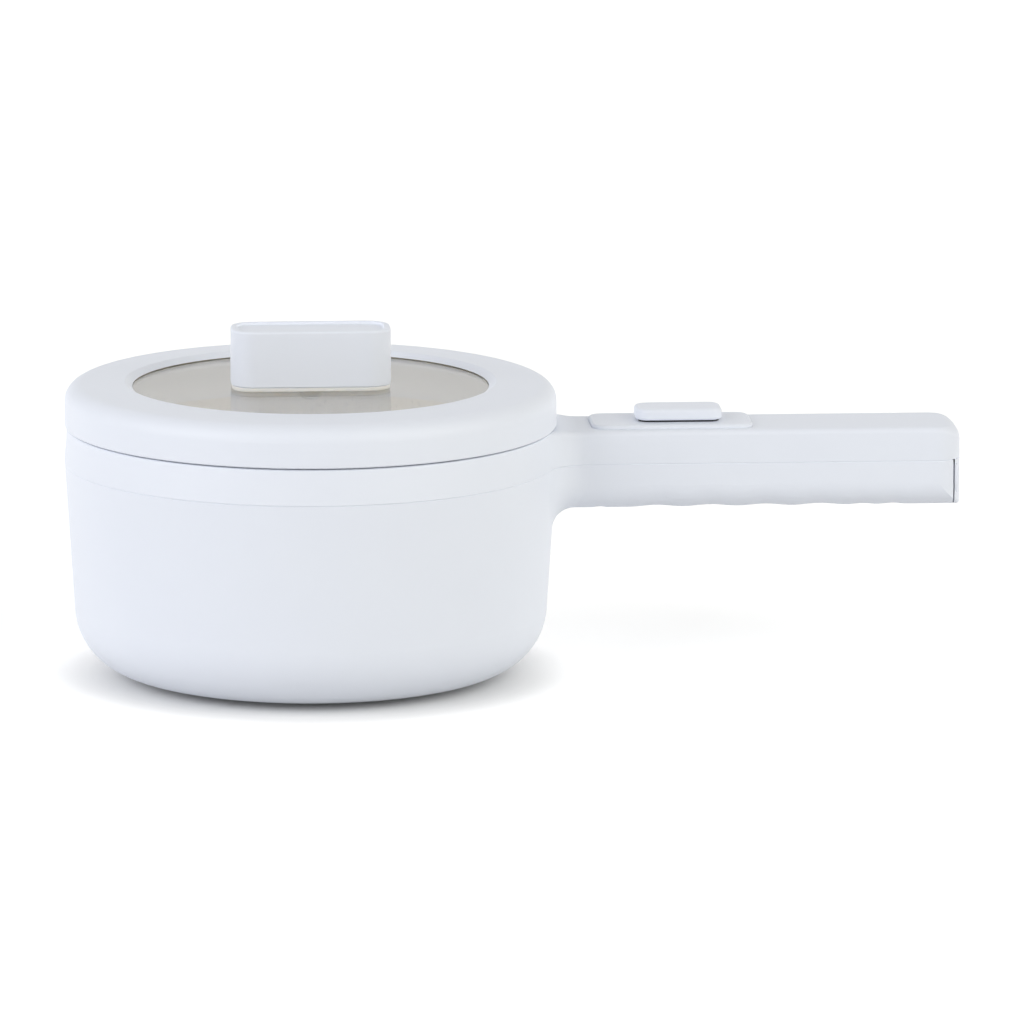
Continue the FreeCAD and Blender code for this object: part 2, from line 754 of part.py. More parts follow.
# ---------------------------------------------------------------- inner pot and heater
def make_inner_pot():
    inner_floor_z = pot_floor_z + pot_wall
    inner_base = pot_mouth_radius - (pot_flange_top_z - inner_floor_z) * pot_slope
    return turned([(0, pot_floor_z), (pot_base_radius, pot_floor_z, pot_corner_radius),
                   (pot_top_radius, pot_flange_z), (pot_flange_radius, pot_flange_z),
                   (pot_flange_radius, pot_flange_top_z, pot_lip_radius),
                   (pot_mouth_radius, pot_flange_top_z, pot_lip_radius),
                   (inner_base, inner_floor_z, pot_corner_radius - pot_wall), (0, inner_floor_z)])


def make_pot_seal():
    outer = pot_flange_radius - fit_clearance
    inner = pot_top_radius + moving_clearance
    hang = ledge_z - seal_hang
    return turned([(inner, hang), (ledge_inner_radius - fit_clearance, hang),
                   (ledge_inner_radius - fit_clearance, ledge_z), (outer, ledge_z), (outer, pot_flange_z),
                   (inner, pot_flange_z)])


def heating_tube_ring(radius):
    """Open ring of the heating tube, with its gap towards the handle."""
    circle = Part.makeCircle(radius, Vector(tube_circle_radius, 0, tube_z), Vector(0, 1, 0))
    section = Part.Face(Part.Wire([circle]))
    ring = section.revolve(Vector(0, 0, 0), up, 360 - tube_gap_angle)
    ring.rotate(Vector(0, 0, 0), up, tube_gap_angle / 2)
    return ring


def tube_end_places():
    angle = math.radians(tube_gap_angle / 2)
    x = tube_circle_radius * math.cos(angle)
    y = tube_circle_radius * math.sin(angle)
    return [(x, -y), (x, y)]


def make_heating_tube():
    """Ring with a knee and a leg at each end; the seams of both are turned away from the ring."""
    tube = heating_tube_ring(tube_radius)
    for side, (x, y) in zip((-1, 1), tube_end_places()):
        knee = Part.makeSphere(tube_radius, Vector(x, y, tube_z))
        knee.rotate(Vector(x, y, tube_z), up, side * tube_gap_angle / 2)
        leg = cylinder(tube_radius, tube_leg_length, x, y, tube_z - tube_leg_length)
        leg.rotate(Vector(x, y, tube_z), up, side * (tube_gap_angle / 2 - 90))
        tube = tube.fuse(knee.fuse(leg).removeSplitter())
    return tube.removeSplitter()


def make_heating_plate():
    plate = turned([(0, plate_z), (plate_radius, plate_z, plate_lower_edge),
                    (plate_radius, pot_floor_z, plate_upper_edge), (0, pot_floor_z)])
    plate = plate.cut(heating_tube_ring(tube_radius))
    for x, y in tube_end_places():
        plate = plate.cut(Part.makeSphere(tube_radius, Vector(x, y, tube_z)))
    return plate.fuse(cylinder(stud_radius, plate_z - stud_z, 0, 0, stud_z)).removeSplitter()


def make_heater_terminals():
    z = tube_z - tube_leg_length - terminal_length
    pins = [cylinder(terminal_radius, terminal_length, x, y, z) for x, y in tube_end_places()]
    return Part.makeCompound(pins)


def make_heat_shield():
    rim_z = shield_z + shield_rim_height
    lip = shield_radius + shield_rim_height
    shield = turned([(0, shield_z), (shield_radius, shield_z), (lip, rim_z),
                     (lip, rim_z + shield_thickness), (shield_radius - shield_thickness, shield_top_z),
                     (0, shield_top_z)])
    holes = [cylinder(stud_radius + screw_clearance, plate_z, 0, 0, 0),
             cylinder(thermostat_radius + fit_clearance, plate_z, 0, thermostat_y, 0)]
    holes += [cylinder(tube_radius + moving_clearance, plate_z, x, y, 0) for x, y in tube_end_places()]
    return shield.cut(Part.makeCompound(holes))


def make_shield_spacer():
    tube = cylinder(spacer_radius, shield_drop, 0, 0, shield_top_z)
    return tube.cut(cylinder(stud_radius + pilot_clearance, shield_drop, 0, 0, shield_top_z))


def hat_strap(span, crown, foot_z, crown_z, thickness, width, x, y):
    """Bent strap along X with level feet and a level crown, centred on x and y."""
    slope = abs(crown_z - foot_z)
    a = span / 2
    b = crown / 2
    t = thickness
    face = outline([(-a, foot_z), (-b - slope, foot_z), (-b, crown_z), (b, crown_z), (b + slope, foot_z),
                    (a, foot_z), (a, foot_z + t), (b + slope - t / 3, foot_z + t), (b - t / 3, crown_z + t),
                    (-b + t / 3, crown_z + t), (-b - slope + t / 3, foot_z + t), (-a, foot_z + t)], "xz")
    face.translate(Vector(x, y - width / 2, 0))
    return face.extrude(Vector(0, width, 0))


def make_clamp_bar():
    crown_z = bar_top_z - bar_thickness
    bar = hat_strap(2 * cover_radius, bar_crown, floor_top_z, crown_z, bar_thickness, bar_width, 0, 0)
    return bar.cut(cylinder(stud_radius + screw_clearance, bar_top_z, 0, 0, 0))


def make_clamp_nut():
    radius = nut_across_flats / math.sqrt(3)
    corners = [(radius * math.cos(math.radians(60 * k)), radius * math.sin(math.radians(60 * k)))
               for k in range(6)]
    face = outline(corners, "xy")
    face.translate(Vector(0, 0, nut_z))
    nut = face.extrude(up * nut_height)
    return nut.cut(cylinder(stud_radius + pilot_clearance, nut_height, 0, 0, nut_z))


def make_thermostat():
    body = cylinder(thermostat_radius, thermostat_height, 0, thermostat_y, thermostat_z)
    for side in (-1, 1):
        x = side * thermostat_tab_offset
        body = body.fuse(block(tab_thickness, tab_width, tab_length, x, thermostat_y, thermostat_tab_z))
    return body.removeSplitter()


def make_thermostat_strap():
    crown = 2 * (thermostat_radius + moving_clearance)
    foot_z = shield_z - strap_thickness
    crown_z = thermostat_z - strap_thickness
    span = crown + 2 * (abs(foot_z - crown_z) + strap_foot_length)
    strap = hat_strap(span, crown, foot_z, crown_z, strap_thickness, strap_width, 0, thermostat_y)
    for side in (-1, 1):
        x = side * thermostat_tab_offset
        slot = block(tab_thickness + 2 * screw_clearance, tab_width + 2 * screw_clearance, tab_length,
                     x, thermostat_y, thermostat_z - tab_length / 2)
        strap = strap.cut(slot)
    return strap


def make_thermal_fuse():
    body = cylinder(fuse_radius, fuse_length, -fuse_length / 2, fuse_y, fuse_z, along)
    reach = fuse_length / 2 + fuse_wire_length
    wire = cylinder(fuse_wire_radius, 2 * reach, -reach, fuse_y, fuse_z, along)
    return body.fuse(wire).removeSplitter()


def make_fuse_clip():
    """Omega strap that holds the fuse against the shield's underside."""
    reach = fuse_radius + strap_thickness
    width = 2 * (reach + clip_foot_length)
    clip = block(strap_width, width, strap_thickness, 0, fuse_y, shield_z - strap_thickness)
    clip = clip.fuse(cylinder(reach, strap_width, -strap_width / 2, fuse_y, fuse_z, along))
    clip = clip.common(slab(0, shield_z))
    bore = cylinder(fuse_radius + pilot_clearance, strap_width, -strap_width / 2, fuse_y, fuse_z, along)
    mouth = block(strap_width, 2 * (fuse_radius + pilot_clearance), fuse_radius + 1, 0, fuse_y, fuse_z)
    return clip.cut(bore.fuse(mouth)).removeSplitter()


# ---------------------------------------------------------------- slide switch
def switch_screw_places():
    offset = (switch_length + switch_ear_length) / 2
    return [switch_centre_x - offset, switch_centre_x + offset]


def make_switch_plate():
    height = plate_proud + plate_recess
    plate = rounded_block(plate_length, plate_width, height, plate_corner_radius, plate_centre_x, 0,
                          handle_top_z - plate_recess)
    plate = plate.makeChamfer(plate_edge_chamfer, level_edges(plate, plate_top_z, lambda p: True))
    slot = rounded_block(slot_length, slot_width, 2 * height, slot_width / 2.1, switch_centre_x, 0,
                         handle_top_z - plate_recess - height / 2)
    return plate.cut(slot)


def make_switch_button():
    cap = rounded_block(button_length, button_width, button_height, button_corner_radius,
                        switch_centre_x, 0, button_z)
    cap = cap.makeFillet(button_top_edge, level_edges(cap, button_z + button_height, lambda p: True))
    cap = cap.makeFillet(button_lower_edge, level_edges(cap, button_z, lambda p: True))
    stem_z = carriage_z + carriage_thickness
    stem = rounded_block(stem_length, stem_width, button_z + button_lower_edge - stem_z, stem_width / 2.1,
                         switch_centre_x, 0, stem_z)
    return cap.fuse(stem).removeSplitter()


def make_switch_carriage():
    carriage = rounded_block(carriage_length, carriage_width, carriage_thickness, 1.0, switch_centre_x, 0,
                             carriage_z)
    peg = block(peg_length, peg_width, peg_depth + carriage_thickness / 2, switch_centre_x, 0,
                carriage_z - peg_depth)
    return carriage.fuse(peg).removeSplitter()


def make_switch_body():
    body = block(switch_length, switch_width, switch_height, switch_centre_x, 0, switch_z)
    ears = block(switch_length + 2 * switch_ear_length, switch_ear_width, switch_ear_thickness,
                 switch_centre_x, 0, switch_top_z - switch_ear_thickness)
    body = body.fuse(ears)
    channel = block(peg_length + 2 * switch_travel + 2 * moving_clearance, peg_width + 2 * moving_clearance,
                    peg_depth + moving_clearance, switch_centre_x, 0, switch_top_z - peg_depth)
    body = body.cut(channel)
    for side in (-1, 0, 1):
        x = switch_centre_x + side * switch_tab_pitch
        body = body.fuse(block(tab_thickness, tab_width, switch_tab_length, x, 0,
                               switch_z - switch_tab_length))
    for x in switch_screw_places():
        body = body.cut(cylinder(switch_screw_radius + screw_clearance, switch_height, x, 0, switch_z))
    return body.removeSplitter()


def make_switch_screws():
    length = switch_ear_thickness + switch_pilot_depth - fit_clearance
    screw = pan_screw(2 * switch_screw_radius, switch_head_height, switch_screw_radius, length)
    z = switch_top_z - switch_ear_thickness
    return Part.makeCompound([placed(screw, x, 0, z) for x in switch_screw_places()])


# ---------------------------------------------------------------- power inlet and leads
def inlet_section(width, height, x):
    """Upright stadium in the YZ plane at x, centred on the inlet."""
    a = width / 2
    low = inlet_z - height / 2
    high = inlet_z + height / 2
    r = recess_edge_radius
    face = outline([(-a, low, r), (a, low, r), (a, high, r), (-a, high, r)], "yz")
    face.translate(Vector(x, 0, 0))
    return face


def make_power_inlet():
    body = block(inlet_depth, inlet_width, inlet_height, inlet_front_x - inlet_depth / 2, 0,
                 inlet_z - inlet_height / 2)
    recess = inlet_section(recess_width, recess_height, inlet_front_x - recess_depth)
    recess = recess.extrude(along * (2 * recess_depth))
    return body.cut(recess)


def make_inlet_pins():
    floor = inlet_front_x - recess_depth
    back = inlet_front_x - inlet_depth
    pins = []
    for side in (-1, 1):
        y = side * pin_pitch / 2
        pin = cylinder(pin_radius, pin_length, floor, y, inlet_z, along)
        tip = [e for e in pin.Edges if abs(e.BoundBox.XMin - floor - pin_length) < 1e-4]
        pin = pin.makeFillet(pin_tip_radius, tip)
        tab = block(tab_length, tab_thickness, tab_width, back - tab_length / 2, y, inlet_z - tab_width / 2)
        pins.append(pin)
        pins.append(tab)
    return Part.makeCompound(pins)


def inlet_tab_end(side):
    back = inlet_front_x - inlet_depth - tab_length
    return Vector(back, side * pin_pitch / 2, inlet_z)


def drop_places(side):
    """Way of a lead from between the screw posts down beside the inner pot, to under the shield."""
    y = side * lead_spread
    wall_x = lower_radius(inlet_z) - 2.2 * shell_wall
    low_wall_x = lower_radius(pot_floor_z) - 2.7 * shell_wall
    corner_x = lower_radius(shield_z) - base_corner_radius * 0.55
    over_bar_z = floor_top_z + bar_thickness + 2 * lead_radius
    return [Vector(handle_screw_x, y, inlet_z), Vector(wall_x, y, inlet_z),
            Vector(low_wall_x, y, pot_floor_z), Vector(corner_x, y, over_bar_z)]


def beside_terminal(place, before):
    """End of a lead that comes from the point before and stops at a terminal's side."""
    x, y = place
    z = tube_z - tube_leg_length - terminal_length / 2
    centre = Vector(x, y, z)
    level = Vector(before.x, before.y, z)
    return centre + (level - centre).normalize() * (terminal_radius + moving_clearance)


def thermostat_tab_end(side):
    return Vector(side * thermostat_tab_offset, thermostat_y, thermostat_tab_z)


def switch_tab_end(side):
    return Vector(switch_centre_x + side * switch_tab_pitch, 0, switch_z - switch_tab_length)


def make_neutral_lead():
    start = inlet_tab_end(1)
    behind = start - along * (2 * lead_bend_radius)
    past_switch = Vector(switch_centre_x, switch_width / 2 + lead_radius + moving_clearance, inlet_z)
    way = [start, behind, past_switch] + drop_places(1)
    return lead(way + [beside_terminal(tube_end_places()[1], way[-1])])


def make_live_lead():
    start = inlet_tab_end(-1)
    end = switch_tab_end(1)
    below = end - up * lead_bend_radius
    bend = along * (2 * lead_bend_radius)
    return lead([start, start - bend, below + bend, below, end])


def make_switched_lead():
    start = switch_tab_end(-1)
    below = start - up * lead_bend_radius
    end = thermostat_tab_end(1)
    under = Vector(end.x, end.y, lead_floor_z)
    beside_bar = Vector(tube_circle_radius * 0.6, -bar_width * 1.1, lead_floor_z + lead_radius)
    return lead([start, below] + drop_places(-1) + [beside_bar, under, end])


def make_thermostat_lead():
    start = thermostat_tab_end(-1)
    under = Vector(start.x, start.y, lead_floor_z)
    end = Vector(-fuse_length / 2 - fuse_wire_length, fuse_y, fuse_z)
    middle = (start + end) / 2
    way = Vector(middle.x - lead_bend_radius, middle.y, lead_floor_z + lead_radius)
    return lead([start, under, way, end - along * (1.5 * lead_bend_radius), end])


def make_fuse_lead():
    start = Vector(fuse_length / 2 + fuse_wire_length, fuse_y, fuse_z)
    way = start + along * (2 * lead_bend_radius)
    return lead([start, way, beside_terminal(tube_end_places()[0], way)])


# ---------------------------------------------------------------- lid
def make_lid_rim():
    """Moulded ring: outer skirt, rounded shoulder, nearly level land and a bevel down to the glass."""
    crest_z = lid_z + lid_crest_height
    groove_z = glass_top_z + gasket_lip
    land_under_z = lid_z + lid_shoulder_height - lid_wall
    return turned([(rim_inner_radius, lid_z), (lid_radius, lid_z, lid_edge_radius),
                   (lid_radius - rim_slope, lid_z + lid_shoulder_height, lid_shoulder_radius),
                   (lid_crest_radius, crest_z, rim_crest_radius),
                   (window_radius, glass_top_z + glass_reveal),
                   (gasket_inner_radius - fit_clearance, glass_top_z + glass_reveal),
                   (gasket_inner_radius - fit_clearance, groove_z),
                   (gasket_outer_radius + fit_clearance, groove_z),
                   (gasket_outer_radius + fit_clearance, groove_z - glass_thickness),
                   (gasket_outer_radius + fit_clearance + rim_bead, groove_z - glass_thickness),
                   (gasket_outer_radius + fit_clearance + rim_bead, land_under_z),
                   (rim_inner_radius, land_under_z, lid_shoulder_radius - lid_wall)])


def make_lid_glass():
    r = glass_edge_radius
    glass = turned([(0, glass_z), (glass_radius, glass_z, r), (glass_radius, glass_top_z, r),
                    (0, glass_top_z)])
    return glass.cut(cylinder(knob_screw_radius + glass_hole_clearance, glass_thickness, 0, 0, glass_z))


def make_glass_gasket():
    bite = fit_clearance / 3
    inner = glass_radius + bite
    lip_top_z = glass_top_z + gasket_lip - bite
    return turned([(gasket_inner_radius, glass_z - gasket_lip), (gasket_outer_radius, glass_z - gasket_lip),
                   (gasket_outer_radius, lip_top_z), (gasket_inner_radius, lip_top_z),
                   (gasket_inner_radius, glass_top_z + bite), (inner, glass_top_z + bite),
                   (inner, glass_z - bite), (gasket_inner_radius, glass_z - bite)])


def make_lid_under_ring():
    """Ring under the glass: it clamps the gasket, centres in the inner pot and rests on its flange."""
    clamp_z = glass_z - gasket_lip
    skirt_z = seat_z - skirt_depth
    inner = skirt_radius - under_ring_wall
    outer = rim_inner_radius - fit_clearance
    seat_top_z = seat_z + under_ring_wall
    clamp_inner = gasket_inner_radius
    return turned([(inner, skirt_z), (skirt_radius, skirt_z, skirt_edge_radius), (skirt_radius, seat_z),
                   (outer, seat_z), (outer, seat_top_z), (skirt_radius, seat_top_z, under_ring_corner),
                   (skirt_radius, clamp_z), (clamp_inner, clamp_z),
                   (clamp_inner, clamp_z - under_ring_wall),
                   (inner, clamp_z - under_ring_wall, under_ring_corner)])


def make_lid_knob():
    """Rounded oblong grip, dished on top and hollow below, with a ribbed screw boss."""
    knob = rounded_block(knob_length, knob_width, knob_height, knob_corner_radius, 0, 0, knob_z)
    knob = knob.makeFillet(knob_edge_radius, level_edges(knob, knob_top_z, lambda p: True))
    knob = knob.makeChamfer(knob_foot_chamfer, level_edges(knob, knob_z, lambda p: True))
    dish = rounded_block(knob_length - 2 * knob_rim, knob_width - 2 * knob_rim, knob_dish_depth,
                         knob_corner_radius - knob_rim, 0, 0, knob_top_z - knob_dish_depth)
    dish_floor = level_edges(dish, knob_top_z - knob_dish_depth, lambda p: True)
    dish = dish.makeFillet(knob_dish_radius, dish_floor)
    hollow_height = knob_height - knob_dish_depth - knob_wall
    hollow = rounded_block(knob_length - 2 * knob_wall, knob_width - 2 * knob_wall, hollow_height,
                           knob_corner_radius - knob_wall, 0, 0, knob_z)
    ribs = block(knob_length - knob_wall, knob_rib, knob_height - knob_wall, 0, 0, knob_z + knob_wall)
    ribs = ribs.fuse(block(knob_rib, knob_width - knob_wall, knob_height - knob_wall, 0, 0,
                           knob_z + knob_wall))
    boss = cylinder(knob_boss_radius, knob_height - knob_wall, 0, 0, knob_z)
    inside = hollow.common(ribs.fuse(boss))
    knob = knob.cut(dish).cut(hollow).fuse(inside)
    pilot = cylinder(knob_screw_radius + pilot_clearance, screw_bite + pilot_spare, 0, 0, knob_z)
    return knob.cut(pilot).removeSplitter()


def make_knob_pad():
    pad = rounded_block(knob_length - 2 * knob_pad_inset, knob_width - 2 * knob_pad_inset,
                        knob_pad_thickness, knob_corner_radius - knob_pad_inset, 0, 0, glass_top_z)
    return pad.cut(cylinder(knob_screw_radius + screw_clearance, knob_pad_thickness, 0, 0, glass_top_z))


def make_knob_washer():
    z = glass_z - washer_thickness
    hole_radius = knob_screw_radius + screw_clearance
    return turned([(hole_radius, z), (washer_radius, z, washer_edge_radius), (washer_radius, glass_z),
                   (hole_radius, glass_z)])


def make_knob_screw():
    length = washer_thickness + glass_thickness + knob_pad_thickness + screw_bite
    screw = pan_screw(knob_head_radius, knob_head_height, knob_screw_radius, length)
    return placed(screw, 0, 0, glass_z - washer_thickness)


# ---------------------------------------------------------------- build
makers = {
    "lower_shell": make_lower_shell, "upper_shell": make_upper_shell, "end_cap": make_end_cap,
    "base_cover": make_base_cover, "feet": make_feet, "base_screws": make_base_screws,
    "handle_screws": make_handle_screws, "inner_pot": make_inner_pot, "pot_seal": make_pot_seal,
    "heating_plate": make_heating_plate, "heating_tube": make_heating_tube,
    "heater_terminals": make_heater_terminals, "heat_shield": make_heat_shield,
    "shield_spacer": make_shield_spacer, "clamp_bar": make_clamp_bar, "clamp_nut": make_clamp_nut,
    "thermostat": make_thermostat, "thermostat_strap": make_thermostat_strap,
    "thermal_fuse": make_thermal_fuse, "fuse_clip": make_fuse_clip, "switch_plate": make_switch_plate,
    "switch_button": make_switch_button, "switch_carriage": make_switch_carriage,
    "switch_body": make_switch_body, "switch_screws": make_switch_screws, "power_inlet": make_power_inlet,
    "inlet_pins": make_inlet_pins, "neutral_lead": make_neutral_lead, "live_lead": make_live_lead,
    "switched_lead": make_switched_lead, "thermostat_lead": make_thermostat_lead,
    "fuse_lead": make_fuse_lead, "lid_rim": make_lid_rim, "lid_under_ring": make_lid_under_ring,
    "lid_glass": make_lid_glass, "glass_gasket": make_glass_gasket, "lid_knob": make_lid_knob,
    "knob_pad": make_knob_pad, "knob_washer": make_knob_washer, "knob_screw": make_knob_screw,
}

os.makedirs("parts", exist_ok=True)
for node, make in makers.items():
    shape = make()
    print(node, "valid" if shape.isValid() else "INVALID", len(shape.Solids), round(shape.Volume, 1))
    save(node, shape)
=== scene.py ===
# %% [markdown]
# # An electric hot pot, dressed for its portrait
# The real object is a small countertop cooker: two moulded plastic shells round a non-stick inner pot, a
# lid with a glass window, and a straight handle with a slide switch. Its shapes come from the engineering
# model, as one mesh for each part at its true size, in metres, with +Z up and +X along the handle.
# What is left for Blender is what the eye reads as material: how plastic, glass, coating, rubber and metal
# meet the light, and the small things that an engineering model leaves out.

# %% Load the frame
import math

import bmesh
import bpy
from mathutils import Matrix, Vector


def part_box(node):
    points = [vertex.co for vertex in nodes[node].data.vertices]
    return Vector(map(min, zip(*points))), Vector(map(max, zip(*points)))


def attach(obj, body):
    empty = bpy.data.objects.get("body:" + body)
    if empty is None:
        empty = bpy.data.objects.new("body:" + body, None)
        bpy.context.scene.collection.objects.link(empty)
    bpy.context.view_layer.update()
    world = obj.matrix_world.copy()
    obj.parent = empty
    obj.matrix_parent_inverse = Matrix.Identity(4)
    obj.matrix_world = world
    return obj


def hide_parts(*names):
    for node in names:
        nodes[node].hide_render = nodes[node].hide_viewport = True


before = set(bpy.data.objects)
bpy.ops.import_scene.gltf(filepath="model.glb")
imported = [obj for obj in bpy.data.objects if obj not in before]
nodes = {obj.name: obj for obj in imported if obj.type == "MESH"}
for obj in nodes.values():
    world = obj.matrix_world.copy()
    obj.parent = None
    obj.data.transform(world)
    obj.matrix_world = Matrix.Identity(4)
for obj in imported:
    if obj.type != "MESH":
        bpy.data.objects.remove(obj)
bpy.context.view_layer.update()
MM = 0.001

# %% [markdown]
# ## Where things are
# Every place in this file is worked out from the parts' own boxes, so that nothing has to be moved when a
# size changes. The pot's axis is the middle of the lid's rim, and the handle runs from there along +X.

# %% Measure the parts
rim_low, rim_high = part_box("lid_rim")
pot_x = (rim_low.x + rim_high.x) / 2
seam_z = rim_low.z
glass_low, glass_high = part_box("lid_glass")
print("pot axis x", round(pot_x, 4), "lid seam z", round(seam_z, 4), "glass top z", round(glass_high.z, 4))

# %% [markdown]
# ## Colours and nodes
# A hex colour, as a designer would read it off a swatch, is written for the screen. Shaders work in linear
# light, so one function turns the first into the second. Another adds a node, sets its sockets and links
# it, which keeps each material down to the few lines that say what it is. A socket is named by its label,
# or by its number where a node has several of the same label: in a Mix node 0 is the factor, 6 and 7 are
# the colours, 2 and 3 the plain numbers, and the third output is the mixed colour.

# %% Helpers for colours and nodes
def linear(hex_colour):
    channels = [int(hex_colour[i:i + 2], 16) / 255 for i in (1, 3, 5)]
    return tuple(c / 12.92 if c <= 0.04045 else ((c + 0.055) / 1.055) ** 2.4 for c in channels) + (1.0,)


def add_node(tree, kind, settings=None, **sockets):
    """Add a node; settings are its own properties, sockets its inputs: a value, or an output to link."""
    node = tree.nodes.new(kind)
    for name, value in (settings or {}).items():
        setattr(node, name, value)
    for name, value in sockets.items():
        by_number = name[0] == "_" and name[1:].isdigit()
        socket = node.inputs[int(name[1:]) if by_number else name.replace("_", " ")]
        if isinstance(value, bpy.types.NodeSocket):
            tree.links.new(value, socket)
        else:
            socket.default_value = value
    return node


def new_material(name):
    """A material whose Principled shader and object coordinates are ready to use."""
    material = bpy.data.materials.new(name)
    material.use_nodes = True
    tree = material.node_tree
    shader = next(n for n in tree.nodes if n.type == "BSDF_PRINCIPLED")
    place = add_node(tree, "ShaderNodeTexCoord").outputs["Object"]
    return material, tree, shader, place


def dress(material, *names):
    """Give parts their material: a part's own slots are emptied first."""
    for name in names:
        mesh = nodes[name].data
        mesh.materials.clear()
        mesh.materials.append(material)
    print(material.name, "on", len(names), "parts")


print("a mid grey of #808080 is", round(linear("#808080")[0], 3), "in linear light")

# %% [markdown]
# ## The housing's white plastic
# Housing, lid and knob are injection-moulded ABS in a cool white. Straight from a polished mould such
# plastic isn't a mirror: the light spreads a little under its surface, its gloss is soft, and the skin
# carries a very faint waviness where the melt cooled unevenly. A single colour with a single gloss would
# look like paper, so the colour drifts by a percent or two over 45 mm, the roughness drifts with it, and a
# low bump at about 0.4 mm breaks up the highlights.

# %% White moulded plastic
PLASTIC_IOR = 1.49
GLOSS_DRIFT = 0.03
SKIN_DEPTH = 0.02 * MM


def moulded_plastic(name, light, dark, roughness, grain_mm, bump, wave_mm=45.0):
    material, tree, shader, place = new_material(name)
    drift = add_node(tree, "ShaderNodeTexNoise", Vector=place, Scale=1000 / wave_mm, Detail=2.0,
                     Roughness=0.5).outputs["Fac"]
    tint = add_node(tree, "ShaderNodeMix", {"data_type": "RGBA"}, _0=drift, _6=linear(dark),
                    _7=linear(light)).outputs[2]
    tree.links.new(tint, shader.inputs["Base Color"])
    gloss = add_node(tree, "ShaderNodeMapRange", Value=drift, To_Min=roughness - GLOSS_DRIFT,
                     To_Max=roughness + GLOSS_DRIFT).outputs["Result"]
    tree.links.new(gloss, shader.inputs["Roughness"])
    grain = add_node(tree, "ShaderNodeTexNoise", Vector=place, Scale=1000 / grain_mm, Detail=3.0,
                     Roughness=0.6).outputs["Fac"]
    relief = add_node(tree, "ShaderNodeBump", Height=grain, Strength=bump, Distance=SKIN_DEPTH)
    tree.links.new(relief.outputs["Normal"], shader.inputs["Normal"])
    shader.inputs["IOR"].default_value = PLASTIC_IOR
    return material, shader


white_plastic = moulded_plastic("Moulded white ABS", "#ECF0F8", "#E9EDF6", roughness=0.46, grain_mm=0.4,
                                bump=0.25)[0]
dress(white_plastic, "lower_shell", "upper_shell", "end_cap", "lid_rim", "switch_plate", "switch_button",
      "lid_knob")

# %% [markdown]
# The base cover and the lid's inner ring come out of a spark-eroded mould, which leaves a fine matt texture
# of about 0.3 mm. The same recipe serves, with more roughness and a deeper bump.

# %% Matt white plastic
matt_plastic = moulded_plastic("Spark-textured white ABS", "#EDEFF2", "#E9EBEF", roughness=0.6, grain_mm=0.3,
                               bump=0.8)[0]
dress(matt_plastic, "base_cover", "lid_under_ring")

# %% [markdown]
# ## Dark plastics
# The inlet, the switch's body and its carriage are black glass-filled nylon, a little matt from the fibres
# under its skin. The thermostat's body is phenolic resin, dark brown and mottled over about 2 mm by its
# wood-flour filler. Both are mouldings too, so the same recipe makes them with other numbers.

# %% Black nylon and phenolic
black_nylon = moulded_plastic("Black glass-filled nylon", "#232427", "#1B1C1F", roughness=0.5, grain_mm=0.25,
                              bump=0.7)[0]
dress(black_nylon, "power_inlet", "switch_body", "switch_carriage")
phenolic = moulded_plastic("Brown phenolic", "#3B2C23", "#2B211B", roughness=0.42, grain_mm=0.5, bump=0.4,
                           wave_mm=2.0)[0]
dress(phenolic, "thermostat")

# %% [markdown]
# ## The window
# Tempered soda-lime glass, 4 mm thick and clear. It refracts at 1.52. The mesh is a closed solid, so the
# shader bends the light at both faces by itself. Perfectly even glass would look like air: fine wiping
# marks, some 18 mm wide, change the roughness by a hair and make its reflections look like glass.

# %% Tempered glass
GLASS_IOR = 1.52
SMEAR_MM = 18.0
SMEAR_ROUGHNESS = 0.05


def tempered_glass():
    material, tree, shader, place = new_material("Tempered soda-lime glass")
    smear = add_node(tree, "ShaderNodeTexNoise", Vector=place, Scale=1000 / SMEAR_MM, Detail=4.0,
                     Distortion=1.5).outputs["Fac"]
    gloss = add_node(tree, "ShaderNodeMapRange", Value=smear, From_Min=0.4, From_Max=0.75, To_Min=0.0,
                     To_Max=SMEAR_ROUGHNESS).outputs["Result"]
    tree.links.new(gloss, shader.inputs["Roughness"])
    shader.inputs["Base Color"].default_value = linear("#FDFDFB")
    shader.inputs["Transmission Weight"].default_value = 1.0
    shader.inputs["IOR"].default_value = GLASS_IOR
    return material


dress(tempered_glass(), "lid_glass")

# %% [markdown]
# ## The inner pot's coating
# A ceramic non-stick coat, sprayed on aluminium and baked: ivory, half gloss, with a scatter of fine
# mineral specks. They could be painted on an image, but that needs the pot unwrapped. The cells of a
# Voronoi pattern need nothing of the kind: each cell of 1.6 mm holds one speck, at a random place. Real
# specks are about 0.3 mm, drawn here at 0.6 mm so that they show. The spray leaves an orange-peel of about
# 2 mm in the surface, which is a soft noise in the bump.

# %% Ceramic non-stick coating
SPECK_CELL_MM = 1.6
SPECK_INNER, SPECK_OUTER = 0.16, 0.24
CLOUD_MM = 30.0
PEEL_MM = 2.0
PEEL_DEPTH = 0.03 * MM
COAT_ROUGHNESS = 0.38


